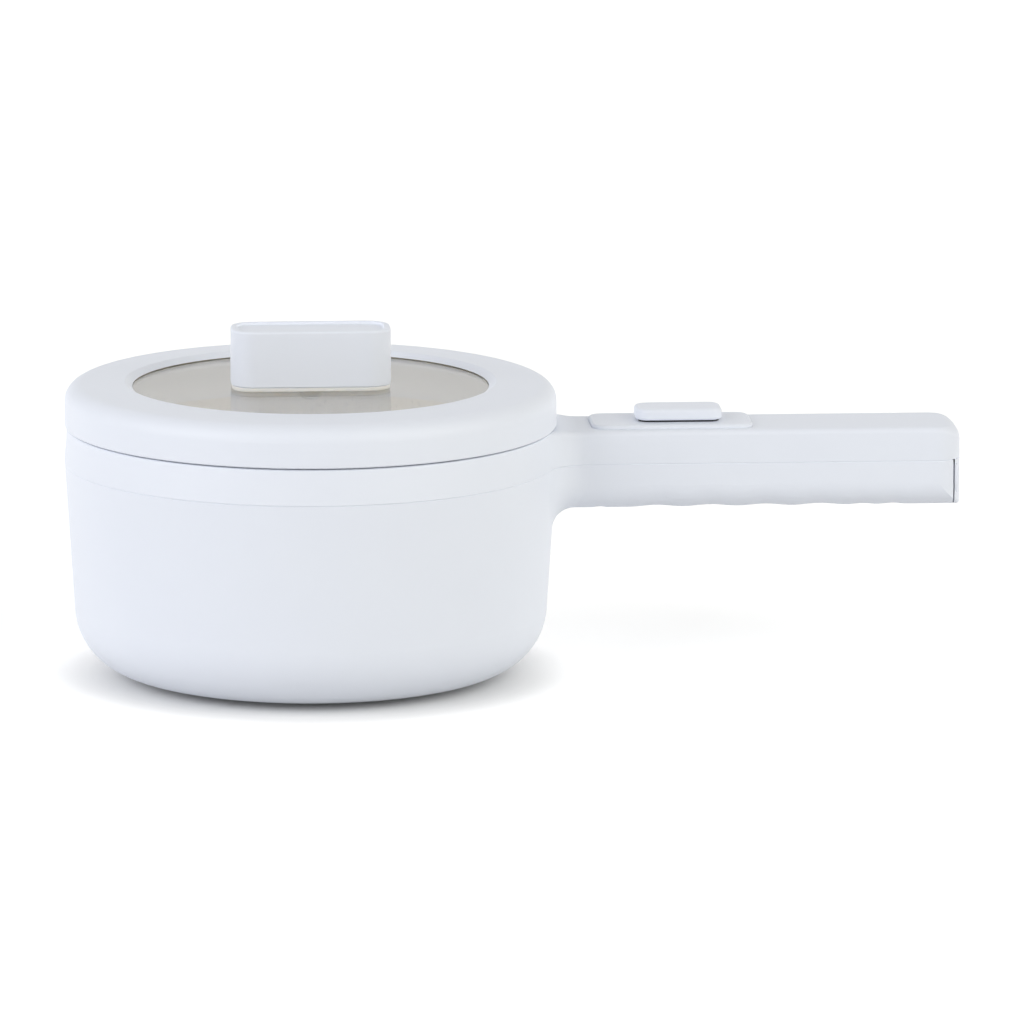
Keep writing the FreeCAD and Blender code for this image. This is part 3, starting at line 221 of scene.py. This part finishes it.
def ceramic_coat():
    material, tree, shader, place = new_material("Ceramic non-stick coat")
    cells = add_node(tree, "ShaderNodeTexVoronoi", Vector=place, Scale=1000 / SPECK_CELL_MM, Randomness=1.0)
    speck = add_node(tree, "ShaderNodeMapRange", Value=cells.outputs["Distance"], From_Min=SPECK_INNER,
                     From_Max=SPECK_OUTER, To_Min=1.0, To_Max=0.0).outputs["Result"]
    cloud = add_node(tree, "ShaderNodeTexNoise", Vector=place, Scale=1000 / CLOUD_MM,
                     Detail=3.0).outputs["Fac"]
    ground = add_node(tree, "ShaderNodeMix", {"data_type": "RGBA"}, _0=cloud, _6=linear("#F6EDDC"),
                      _7=linear("#EFE5D2")).outputs[2]
    colour = add_node(tree, "ShaderNodeMix", {"data_type": "RGBA"}, _0=speck, _6=ground,
                      _7=linear("#B3A897")).outputs[2]
    tree.links.new(colour, shader.inputs["Base Color"])
    peel = add_node(tree, "ShaderNodeTexNoise", Vector=place, Scale=1000 / PEEL_MM, Detail=1.0).outputs["Fac"]
    relief = add_node(tree, "ShaderNodeBump", Height=peel, Strength=0.3, Distance=PEEL_DEPTH)
    tree.links.new(relief.outputs["Normal"], shader.inputs["Normal"])
    shader.inputs["Roughness"].default_value = COAT_ROUGHNESS
    return material


dress(ceramic_coat(), "inner_pot")

# %% [markdown]
# ## Silicone
# The feet under the base, the seals and the pad under the knob are moulded silicone: milky, matt, with a
# little dust in its skin. Light goes a millimetre or so into it, so a thin edge glows where plastic would
# be dark, and subsurface scattering on the plastic's recipe gives that. The glass gasket is a warmer,
# clearer grade, which ages towards amber.

# %% Silicone rubber
SILICONE_IOR = 1.41
GLOW_DEPTH = 1.5 * MM
GLOW_BY_CHANNEL = (1.0, 0.8, 0.6)


def silicone(name, light, dark):
    material, shader = moulded_plastic(name, light, dark, roughness=0.55, grain_mm=0.5, bump=0.5, wave_mm=6.0)
    shader.inputs["Subsurface Weight"].default_value = 0.3
    shader.inputs["Subsurface Radius"].default_value = GLOW_BY_CHANNEL
    shader.inputs["Subsurface Scale"].default_value = GLOW_DEPTH
    shader.inputs["IOR"].default_value = SILICONE_IOR
    return material


dress(silicone("White silicone", "#D9DADC", "#D2D3D5"), "feet", "pot_seal")
milky_silicone = silicone("Milky silicone", "#EFEDE9", "#EAE8E3")
dress(milky_silicone, "knob_pad")
warm_silicone = silicone("Translucent warm silicone", "#EAE3D4", "#E2DACA")
dress(warm_silicone, "glass_gasket")

# %% [markdown]
# ## Metals
# What the eye knows a metal by is how its surface was made. Castings are dull and pitted, rolled sheet has
# long fine lines, a turned or headed screw has a soft shine, zinc plate goes slightly blue and cloudy.
# One recipe gives each of these: a tint that drifts, a roughness that drifts more, and a relief that is
# round for a casting or stretched along one direction for a rolled sheet.

# %% Metals
METAL_CLOUD_MM = 9.0
METAL_GLOSS_DRIFT = 0.08
METAL_RELIEF_DEPTH = 0.03 * MM


def metal(name, light, dark, roughness, relief_mm, bump, stretch=(1.0, 1.0, 1.0)):
    material, tree, shader, place = new_material(name)
    spread = add_node(tree, "ShaderNodeMapping", Vector=place, Scale=stretch).outputs["Vector"]
    cloud = add_node(tree, "ShaderNodeTexNoise", Vector=place, Scale=1000 / METAL_CLOUD_MM,
                     Detail=3.0).outputs["Fac"]
    tint = add_node(tree, "ShaderNodeMix", {"data_type": "RGBA"}, _0=cloud, _6=linear(dark),
                    _7=linear(light)).outputs[2]
    tree.links.new(tint, shader.inputs["Base Color"])
    skin = add_node(tree, "ShaderNodeTexNoise", Vector=spread, Scale=1000 / relief_mm, Detail=4.0,
                    Roughness=0.6).outputs["Fac"]
    gloss = add_node(tree, "ShaderNodeMapRange", Value=skin, To_Min=roughness - METAL_GLOSS_DRIFT,
                     To_Max=roughness + METAL_GLOSS_DRIFT).outputs["Result"]
    tree.links.new(gloss, shader.inputs["Roughness"])
    relief = add_node(tree, "ShaderNodeBump", Height=skin, Strength=bump, Distance=METAL_RELIEF_DEPTH)
    tree.links.new(relief.outputs["Normal"], shader.inputs["Normal"])
    shader.inputs["Metallic"].default_value = 1.0
    return material


zinc_steel = metal("Zinc-plated steel", "#C2C6CC", "#A9AEB6", roughness=0.36, relief_mm=0.6, bump=0.3)
dress(zinc_steel, "base_screws", "handle_screws", "switch_screws", "shield_spacer", "clamp_bar", "clamp_nut",
      "thermostat_strap", "fuse_clip")
stainless = metal("Stainless steel", "#C9C8C5", "#B8B7B4", roughness=0.24, relief_mm=0.3, bump=0.2)
dress(stainless, "knob_screw", "knob_washer")

# %% [markdown]
# The rest is seen only when the pot is taken apart: the die-cast heating plate, dull and pitted, the rolled
# shield under it, with its lines along Y, the heater's tube, tinted brown by its own heat, and the contacts,
# whose nickel plate is smooth and slightly yellow. The same recipe makes all four.

# %% Metals inside
dress(metal("Die-cast aluminium", "#C4C5C7", "#ACADB0", roughness=0.5, relief_mm=0.8, bump=0.6),
      "heating_plate")
dress(metal("Rolled aluminium sheet", "#D6D7D8", "#C6C7C9", roughness=0.34, relief_mm=0.35, bump=0.3,
            stretch=(1.0, 0.04, 1.0)), "heat_shield")
dress(metal("Heat-tinted steel tube", "#9A938B", "#7E766F", roughness=0.38, relief_mm=0.5, bump=0.3),
      "heating_tube")
dress(metal("Nickel-plated brass", "#D2CBB8", "#C2BAA4", roughness=0.22, relief_mm=0.3, bump=0.15),
      "inlet_pins", "heater_terminals", "thermal_fuse")

# %% [markdown]
# ## Leads
# The heat-proof leads inside are insulated with silicone, whose soft matt skin the recipe above already
# gives. In the colours of household wiring, the live side is brown and the neutral side blue; the switched
# and heater leads are white.

# %% Insulation of the leads
dress(silicone("Brown silicone insulation", "#6B4329", "#5E3A23"), "live_lead")
dress(silicone("Blue silicone insulation", "#3E6FA8", "#366399"), "neutral_lead")
dress(silicone("White silicone insulation", "#DADAD6", "#D0D0CB"), "switched_lead", "thermostat_lead",
      "fuse_lead")

# %% [markdown]
# ## Small pieces
# Three things are too small for the engineering model and still catch the eye, and a fourth piece paints
# shade. The screws have a cross recess, pressed into a pan head. A bead of silicone fills the slit between
# the glass and the rim's inner edge. The knob's pad comes out to the knob's own edge, so that no groove shows
# between knob and glass. And a black sheet under the slide button is painted shade in the slot that the
# button runs in; it is no real part.
#
# Each starts as a bmesh in millimetres, because small numbers with many noughts are easy to get wrong. One
# function merges what lies together, turns the faces outwards, scales the shape to metres, puts it in place
# and says which body it moves with. Only edges that turn by more than 35 degrees stay sharp.

# %% Making a piece
SHARP_EDGE = math.radians(35)
MERGE_DISTANCE = 0.001


def corners_of(geometry):
    """The corners among what an operator gives back."""
    return [part for part in geometry if isinstance(part, bmesh.types.BMVert)]


def finish_piece(name, shape, place, material, body):
    """Turn a bmesh in millimetres into a piece at place, which moves with body."""
    bmesh.ops.remove_doubles(shape, verts=shape.verts, dist=MERGE_DISTANCE)
    bmesh.ops.recalc_face_normals(shape, faces=shape.faces)
    for face in shape.faces:
        face.smooth = True
    for edge in shape.edges:
        edge.smooth = edge.calc_face_angle(0) < SHARP_EDGE
    open_edges = sum(not edge.is_manifold for edge in shape.edges)
    bmesh.ops.scale(shape, vec=(MM, MM, MM), verts=shape.verts)
    bmesh.ops.translate(shape, vec=place, verts=shape.verts)
    mesh = bpy.data.meshes.new(name)
    shape.to_mesh(mesh)
    shape.free()
    mesh.materials.append(material)
    piece = bpy.data.objects.new(name, mesh)
    bpy.context.scene.collection.objects.link(piece)
    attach(piece, body)
    print(name, "has", len(mesh.polygons), "faces and", open_edges, "open edges")
    return piece


# %% [markdown]
# A pan-head screw is a wide disc with a rounded rim on a thin shank. It could be turned on a lathe, but the
# face has to stay whole for the cross, so it grows from that instead: a circle, pulled up and widened in
# small steps along a quarter of an ellipse for the rim, then straight up, narrowed, and up for the shank.
#
# The cross recess is pressed into the face, about half as wide as the head. Planes across the face cut it
# into a grid, the five cells that make the cross are pulled into the head, and they narrow on the way, as
# the driver's tip does. A boolean would do it too, but leaves an uneven mesh behind.

# %% One screw
ROUND_STEPS = 32
RIM_STEPS = 6
FACE_RADIUS = 0.72
RIM_HEIGHT = 0.5
CROSS_REACH = 0.52
CROSS_HALF_WIDTH = 0.13
CROSS_TAPER = 0.55
CROSS_DEPTH = 0.6
ON_FACE = 1e-4


def edges_round(faces):
    return list(dict.fromkeys(edge for face in faces for edge in face.edges))


def pull(shape, faces, distance, widen=1.0):
    """Extrude faces upwards by distance and widen them about the Z axis; gives the moved faces."""
    moved = bmesh.ops.extrude_face_region(shape, geom=faces + edges_round(faces))["geom"]
    bmesh.ops.scale(shape, vec=(widen, widen, 1), verts=corners_of(moved))
    bmesh.ops.translate(shape, vec=(0, 0, distance), verts=corners_of(moved))
    return [part for part in moved if isinstance(part, bmesh.types.BMFace)]


def face_cells(shape):
    """The faces at height 0, which make up the face of the screw's head."""
    return [face for face in shape.faces if abs(face.calc_center_median().z) < ON_FACE]


def press_cross(shape, reach, half_width, depth):
    for offset in (-reach, -half_width, half_width, reach):
        for across in (Vector((1, 0, 0)), Vector((0, 1, 0))):
            cells = face_cells(shape)
            bmesh.ops.bisect_plane(shape, geom=cells + edges_round(cells), plane_co=across * offset,
                                   plane_no=across)
    middles = [(cell, cell.calc_center_median()) for cell in face_cells(shape)]
    cross = [cell for cell, at in middles
             if min(abs(at.x), abs(at.y)) < half_width and max(abs(at.x), abs(at.y)) < reach]
    pull(shape, cross, depth, CROSS_TAPER)


def pan_screw(head_radius, head_height, shank_radius, length):
    """Screw about the Z axis, driven upwards, its head's face at height 0."""
    bend = [math.pi / 2 * step / RIM_STEPS for step in range(1, RIM_STEPS + 1)]
    profile = [(head_radius * (FACE_RADIUS + (1 - FACE_RADIUS) * math.sin(angle)),
                head_height * RIM_HEIGHT * (1 - math.cos(angle))) for angle in bend]
    profile += [(head_radius, head_height), (shank_radius, head_height), (shank_radius, head_height + length)]
    shape = bmesh.new()
    radius, height = FACE_RADIUS * head_radius, 0.0
    bmesh.ops.create_circle(shape, cap_ends=True, segments=ROUND_STEPS, radius=radius)
    top = list(shape.faces)
    for next_radius, next_height in profile:
        top = pull(shape, top, next_height - height, next_radius / radius)
        radius, height = next_radius, next_height
    press_cross(shape, CROSS_REACH * head_radius, CROSS_HALF_WIDTH * head_radius, CROSS_DEPTH * head_height)
    return shape


trial = pan_screw(2.8, 1.5, 1.5, 9.0)
print("one screw has", len(trial.faces), "faces")
trial.free()

# %% [markdown]
# The engineering model holds plain screws, and each group of them gives a box whose corners are the heads'
# outer edges. One screw is drawn and copied to each place, and the group then stands for the plain ones.

# %% All the screws
def places_along(low, high, inset, count):
    """One place in the middle between low and high, or two, each an inset from its end."""
    return [(low + high) / 2] if count == 1 else [low + inset, high - inset]


def cross_screws(node, columns, lines, head_radius, head_height, shank_radius, material, body):
    low, high = (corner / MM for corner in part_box(node))
    shape = pan_screw(head_radius, head_height, shank_radius, high.z - low.z - head_height)
    first = shape.verts[:] + shape.edges[:] + shape.faces[:]
    for x in places_along(low.x, high.x, head_radius, columns):
        for y in places_along(low.y, high.y, head_radius, lines):
            copy = bmesh.ops.duplicate(shape, geom=first)["geom"]
            bmesh.ops.translate(shape, vec=(x, y, low.z), verts=corners_of(copy))
    bmesh.ops.delete(shape, geom=corners_of(first), context="VERTS")
    piece = finish_piece(node + "_crossed", shape, (0, 0, 0), material, body)
    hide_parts(node)


cross_screws("base_screws", 2, 2, head_radius=2.8, head_height=1.5, shank_radius=1.5, material=zinc_steel,
             body="housing")
cross_screws("handle_screws", 1, 2, head_radius=2.8, head_height=2.0, shank_radius=1.5, material=zinc_steel,
             body="housing")
cross_screws("knob_screw", 1, 1, head_radius=4.4, head_height=3.0, shank_radius=2.0, material=stainless,
             body="lid")

# %% [markdown]
# On the real lid a bead of silicone closes the slit between the glass and the rim's inner edge, so that no
# water gets in. It could be a curve with a thickness, but a curve's section is round, and this one is flat.
# It is the same all the way round, so the four corners of its section are spun about the pot's axis, in
# steps that are small enough for it to look round at the window's size.

# %% Bead round the glass
BEAD_INSET = 2.45
BEAD_WIDTH = 0.9
BEAD_HEIGHT = 0.33
BEAD_STEPS = 160


def glazing_bead():
    inner = (glass_high.x - glass_low.x) / 2 / MM - BEAD_INSET
    outer = inner + BEAD_WIDTH
    shape = bmesh.new()
    section = [shape.verts.new((radius, 0, height))
               for radius, height in ((inner, 0), (outer, 0), (outer, BEAD_HEIGHT), (inner, BEAD_HEIGHT))]
    sides = [shape.edges.new(pair) for pair in zip(section, section[1:] + section[:1])]
    bmesh.ops.spin(shape, geom=section + sides, cent=(0, 0, 0), axis=(0, 0, 1), angle=2 * math.pi,
                   steps=BEAD_STEPS, use_merge=True)
    return shape


finish_piece("glazing_bead", glazing_bead(), (pot_x, 0, glass_high.z), warm_silicone, "lid")

# %% [markdown]
# The pad under the knob and the shutter under the button are both flat oblongs with round corners. A grid
# of one face is scaled to the size, and a bevel of its four corners rounds them. Only the outline is kept.
# With a circle in its middle where there is a hole, it is filled and pulled up to its thickness. The fill
# leaves the hole open, so there is nothing to cut.

# %% Flat plates
CORNER_STEPS = 10


def oblong_plate(length, width, corner_radius, thickness, hole_radius=0.0):
    """Plate from height 0 up, with a round hole in its middle if that has a radius."""
    shape = bmesh.new()
    bmesh.ops.create_grid(shape, x_segments=1, y_segments=1, size=0.5)
    bmesh.ops.scale(shape, vec=(length, width, 1), verts=shape.verts)
    bmesh.ops.bevel(shape, geom=list(shape.verts), offset=corner_radius, offset_type="OFFSET",
                    segments=CORNER_STEPS, profile=0.5, affect="VERTICES", material=-1)
    bmesh.ops.delete(shape, geom=list(shape.faces), context="FACES_ONLY")
    if hole_radius:
        bmesh.ops.create_circle(shape, segments=ROUND_STEPS, radius=hole_radius)
    bmesh.ops.triangle_fill(shape, use_beauty=True, edges=list(shape.edges))
    pull(shape, list(shape.faces), thickness)
    bmesh.ops.recalc_face_normals(shape, faces=shape.faces)
    return shape


trial = oblong_plate(20.0, 10.0, 3.0, 1.0, hole_radius=2.0)
print("a plate with a hole has", len(trial.faces), "faces")
trial.free()

# %% [markdown]
# The pad keeps the hard knob off the glass, and its hole lets the screw through. It could be cut from the
# knob's own mesh, but a plate of the knob's size is cleaner: a third of a millimetre smaller, so that the
# knob hides its edge from above, and as thick as the gap that the engineering model leaves for it. A tiny
# bevel catches the light where it meets the glass.

# %% Pad under the knob
PAD_INSET = 0.35
PAD_CORNER = 9.1
PAD_HOLE = 2.3
PAD_ROUNDING = 0.12
RIM_ANGLE = math.radians(60)
knob_low, knob_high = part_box("lid_knob")
pad_low, pad_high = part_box("knob_pad")


def knob_foot():
    size = (knob_high - knob_low) / MM
    shape = oblong_plate(size.x - 2 * PAD_INSET, size.y - 2 * PAD_INSET, PAD_CORNER,
                         (pad_high.z - pad_low.z) / MM, PAD_HOLE)
    rims = [edge for edge in shape.edges if edge.calc_face_angle(0) > RIM_ANGLE]
    bmesh.ops.bevel(shape, geom=rims, offset=PAD_ROUNDING, offset_type="OFFSET", segments=2, profile=0.5,
                    affect="EDGES", material=-1)
    return shape


foot = finish_piece("knob_foot", knob_foot(), ((knob_low.x + knob_high.x) / 2, 0, pad_low.z), milky_silicone,
                    "lid")
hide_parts("knob_pad")

# %% [markdown]
# The button runs over a slot in its plate. A thin black sheet that travels with it is painted shade: it
# stands for the shade in the gap under the button and is no real part. It is a little smaller than the
# button and lies just clear of the plate, so all that shows of it is a fine dark line under the button's
# edge.

# %% Painted shade sheet under the slide button
SHADE_SHEET_INSET = 1.2
SHADE_SHEET_CORNER = 4.0
SHADE_SHEET_THICKNESS = 0.5
SHADE_SHEET_LIFT = 0.15
button_low, button_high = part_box("switch_button")
button_x = (button_low.x + button_high.x) / 2
button_size = (button_high - button_low) / MM
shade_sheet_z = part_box("switch_plate")[1].z + SHADE_SHEET_LIFT * MM
# A black sheet that paints the shade in the slot under the slide button; not a real part.
shade_sheet = oblong_plate(button_size.x - 2 * SHADE_SHEET_INSET, button_size.y - 2 * SHADE_SHEET_INSET, SHADE_SHEET_CORNER,
                       SHADE_SHEET_THICKNESS)
finish_piece("slot_shade_sheet", shade_sheet, (button_x, 0, shade_sheet_z), black_nylon, "switch_slider")

# %% [markdown]
# ## The studio
# A white sweep and soft light, as for a catalogue. One thing has to be told apart first: rays that show
# something to the eye, straight, off gloss or through glass, and rays that only carry light about. White
# things can then be shown to the eye as white without lighting the object more.
#
# The floor is paper, and it takes its shadow as a plain diffuse surface. A stronger lamp would whiten it
# too, but the object with it. So for rays that the eye sees, a glow is added, which lifts the pale floor to
# clean white. The glow dies out within 20 mm of the object, where little sky can reach the floor, and so
# the contact shadow stays dark.

# %% Floor
FLOOR_RADIUS = 6.0
PAPER = (0.76, 0.76, 0.76, 1.0)
WHITE = (1.0, 1.0, 1.0, 1.0)
PAPER_GLOW = 0.49
CONTACT_REACH = 0.02


def seen_directly(tree):
    """1 for rays from the camera, off gloss or through glass, 0 for rays that carry light about."""
    rays = add_node(tree, "ShaderNodeLightPath").outputs
    gloss_or_glass = add_node(tree, "ShaderNodeMath", {"operation": "MAXIMUM"}, _0=rays["Is Glossy Ray"],
                              _1=rays["Is Transmission Ray"]).outputs[0]
    return add_node(tree, "ShaderNodeMath", {"operation": "MAXIMUM"}, _0=rays["Is Camera Ray"],
                    _1=gloss_or_glass).outputs[0]


def paper():
    material = bpy.data.materials.new("White paper sweep")
    material.use_nodes = True
    tree = material.node_tree
    tree.nodes.clear()
    plain = add_node(tree, "ShaderNodeBsdfDiffuse", Color=PAPER).outputs[0]
    open_sky = add_node(tree, "ShaderNodeAmbientOcclusion", Color=WHITE, Distance=CONTACT_REACH)
    glow = add_node(tree, "ShaderNodeEmission", Color=open_sky.outputs["Color"],
                    Strength=PAPER_GLOW).outputs[0]
    both = add_node(tree, "ShaderNodeAddShader", _0=plain, _1=glow).outputs[0]
    seen = add_node(tree, "ShaderNodeMixShader", _0=seen_directly(tree), _1=plain, _2=both)
    add_node(tree, "ShaderNodeOutputMaterial", _0=seen.outputs[0])
    return material


disc = bmesh.new()
bmesh.ops.create_circle(disc, cap_ends=True, segments=64, radius=FLOOR_RADIUS)
floor_mesh = bpy.data.meshes.new("floor")
disc.to_mesh(floor_mesh)
disc.free()
floor_mesh.materials.append(paper())
floor = bpy.data.objects.new("floor", floor_mesh)
bpy.context.scene.collection.objects.link(floor)
print("floor of", FLOOR_RADIUS, "m radius, material", floor_mesh.materials[0].name)

# %% [markdown]
# The world is a white tent, open towards the camera. A picture of a real studio all round would do, but a
# few sums on the direction of the ray say the same and can be changed at will. The back wall is the
# brightest, and the tent grows dimmer towards the top, so that the upright walls come out a little brighter
# than the tops. What gloss and glass show of it is the white of the backdrop, greyer in a band above the
# horizon and white again overhead.

# %% World
HORIZON_LIGHT = 0.5
ZENITH_LOSS = -0.5
BACK_WALL_LIGHT = 1.07
BACKDROP_SEEN = 1.0
BACKDROP_DIP = 0.80
DIP_BELOW, DIP_ABOVE, CEILING = 0.18, 0.3, 0.7


def white_tent():
    world = bpy.data.worlds.new("White tent")
    world.use_nodes = True
    tree = world.node_tree
    tree.nodes.clear()
    direction = add_node(tree, "ShaderNodeTexCoord").outputs["Generated"]
    parts = add_node(tree, "ShaderNodeSeparateXYZ", Vector=direction).outputs
    upward = add_node(tree, "ShaderNodeMath", {"operation": "MAXIMUM"}, _0=parts["Z"], _1=0.0).outputs[0]
    backward = add_node(tree, "ShaderNodeMath", {"operation": "MAXIMUM"}, _0=parts["Y"], _1=0.0).outputs[0]
    light = add_node(tree, "ShaderNodeMath", {"operation": "MULTIPLY_ADD"}, _0=upward, _1=ZENITH_LOSS,
                     _2=HORIZON_LIGHT).outputs[0]
    light = add_node(tree, "ShaderNodeMath", {"operation": "MULTIPLY_ADD"}, _0=backward, _1=BACK_WALL_LIGHT,
                     _2=light).outputs[0]
    smooth = {"interpolation_type": "SMOOTHSTEP"}
    wall = add_node(tree, "ShaderNodeMapRange", smooth, Value=parts["Z"], From_Max=DIP_BELOW,
                    To_Min=BACKDROP_SEEN, To_Max=BACKDROP_DIP).outputs[0]
    ceiling = add_node(tree, "ShaderNodeMapRange", smooth, Value=parts["Z"], From_Min=DIP_ABOVE,
                       From_Max=CEILING, To_Max=BACKDROP_SEEN - BACKDROP_DIP).outputs[0]
    backdrop = add_node(tree, "ShaderNodeMath", {"operation": "ADD"}, _0=wall, _1=ceiling).outputs[0]
    strength = add_node(tree, "ShaderNodeMix", {"data_type": "FLOAT"}, _0=seen_directly(tree), _2=light,
                        _3=backdrop).outputs[0]
    tent = add_node(tree, "ShaderNodeBackground", Color=WHITE, Strength=strength)
    add_node(tree, "ShaderNodeOutputWorld", _0=tent.outputs[0])
    return world


bpy.context.scene.world = white_tent()
print("world", bpy.context.scene.world.name, "lights with", HORIZON_LIGHT, "at the horizon")

# %% [markdown]
# Two broad lights stand low at the front, a stronger and slightly cooler one on the left, a weaker and
# warmer one on the right. They leave the middle of the drum the darkest, which is what shows that it is
# round. Area lamps would be the usual softboxes, but their light falls off over the floor. A sun lamp with
# a disc 60 degrees wide has the same soft shadows and lights the floor evenly.

# %% Lamps
SOFTBOX_WIDTH = math.radians(60)
LAMP_DISTANCE = 3.0


def add_softbox(name, azimuth, elevation, strength, colour):
    """Sun lamp that shines on the object from azimuth, counted in degrees from the front towards +X."""
    data = bpy.data.lights.new(name, "SUN")
    data.energy = strength
    data.angle = SOFTBOX_WIDTH
    data.color = colour
    lamp = bpy.data.objects.new(name, data)
    bpy.context.scene.collection.objects.link(lamp)
    turn, rise = math.radians(azimuth), math.radians(elevation)
    source = Vector((math.cos(rise) * math.sin(turn), -math.cos(rise) * math.cos(turn), math.sin(rise)))
    lamp.location = source * LAMP_DISTANCE
    lamp.rotation_euler = (-source).to_track_quat("-Z", "Y").to_euler()
    print(name, "from azimuth", azimuth, "with strength", strength)


add_softbox("left_softbox", -62, 20, 1.85, (0.99, 1.0, 1.03))
add_softbox("right_softbox", 55, 24, 1.57, (1.01, 1.0, 0.94))

# %% [markdown]
# ## The camera
# A very long lens from four metres away, a little above the lid, keeps the pot's ellipses shallow and the
# handle level. It looks at the pot's axis at the height of the lid's seam, from three degrees to the left
# of the front, and then turns a little to the right and down, which puts the whole object in the middle of
# a square frame. A track-to constraint would only centre its target, so the camera's three axes are turned
# one after the other instead. Each turn is about one of those axes, so the order matters.

# %% Camera
DISTANCE = 4.0
ELEVATION = math.radians(10.54)
SIDESTEP = math.radians(-3.0)
TURN_RIGHT = math.radians(1.171)
TURN_DOWN = math.radians(0.519)
LEAN = math.radians(0.093)
FOCAL_LENGTH = 345.9
SENSOR_WIDTH = 36.0
target = Vector((pot_x, 0, seam_z))
back = Vector((math.cos(ELEVATION) * math.sin(SIDESTEP), -math.cos(ELEVATION) * math.cos(SIDESTEP),
               math.sin(ELEVATION)))
forward = -back
right = forward.cross(Vector((0, 0, 1))).normalized()
above = right.cross(forward)
turn = Matrix.Rotation(-TURN_RIGHT, 3, above)
forward, right = turn @ forward, turn @ right
turn = Matrix.Rotation(-TURN_DOWN, 3, right)
forward, above = turn @ forward, turn @ above
turn = Matrix.Rotation(LEAN, 3, forward)
right, above = turn @ right, turn @ above
camera_data = bpy.data.cameras.new("camera")
camera_data.lens = FOCAL_LENGTH
camera_data.sensor_width = SENSOR_WIDTH
camera = bpy.data.objects.new("camera", camera_data)
bpy.context.scene.collection.objects.link(camera)
camera.matrix_world = Matrix((right, above, -forward)).transposed().to_4x4()
camera.location = target + back * DISTANCE
bpy.context.scene.camera = camera
bpy.context.scene.view_settings.view_transform = "Standard"
print("camera at", [round(c, 3) for c in camera.location])
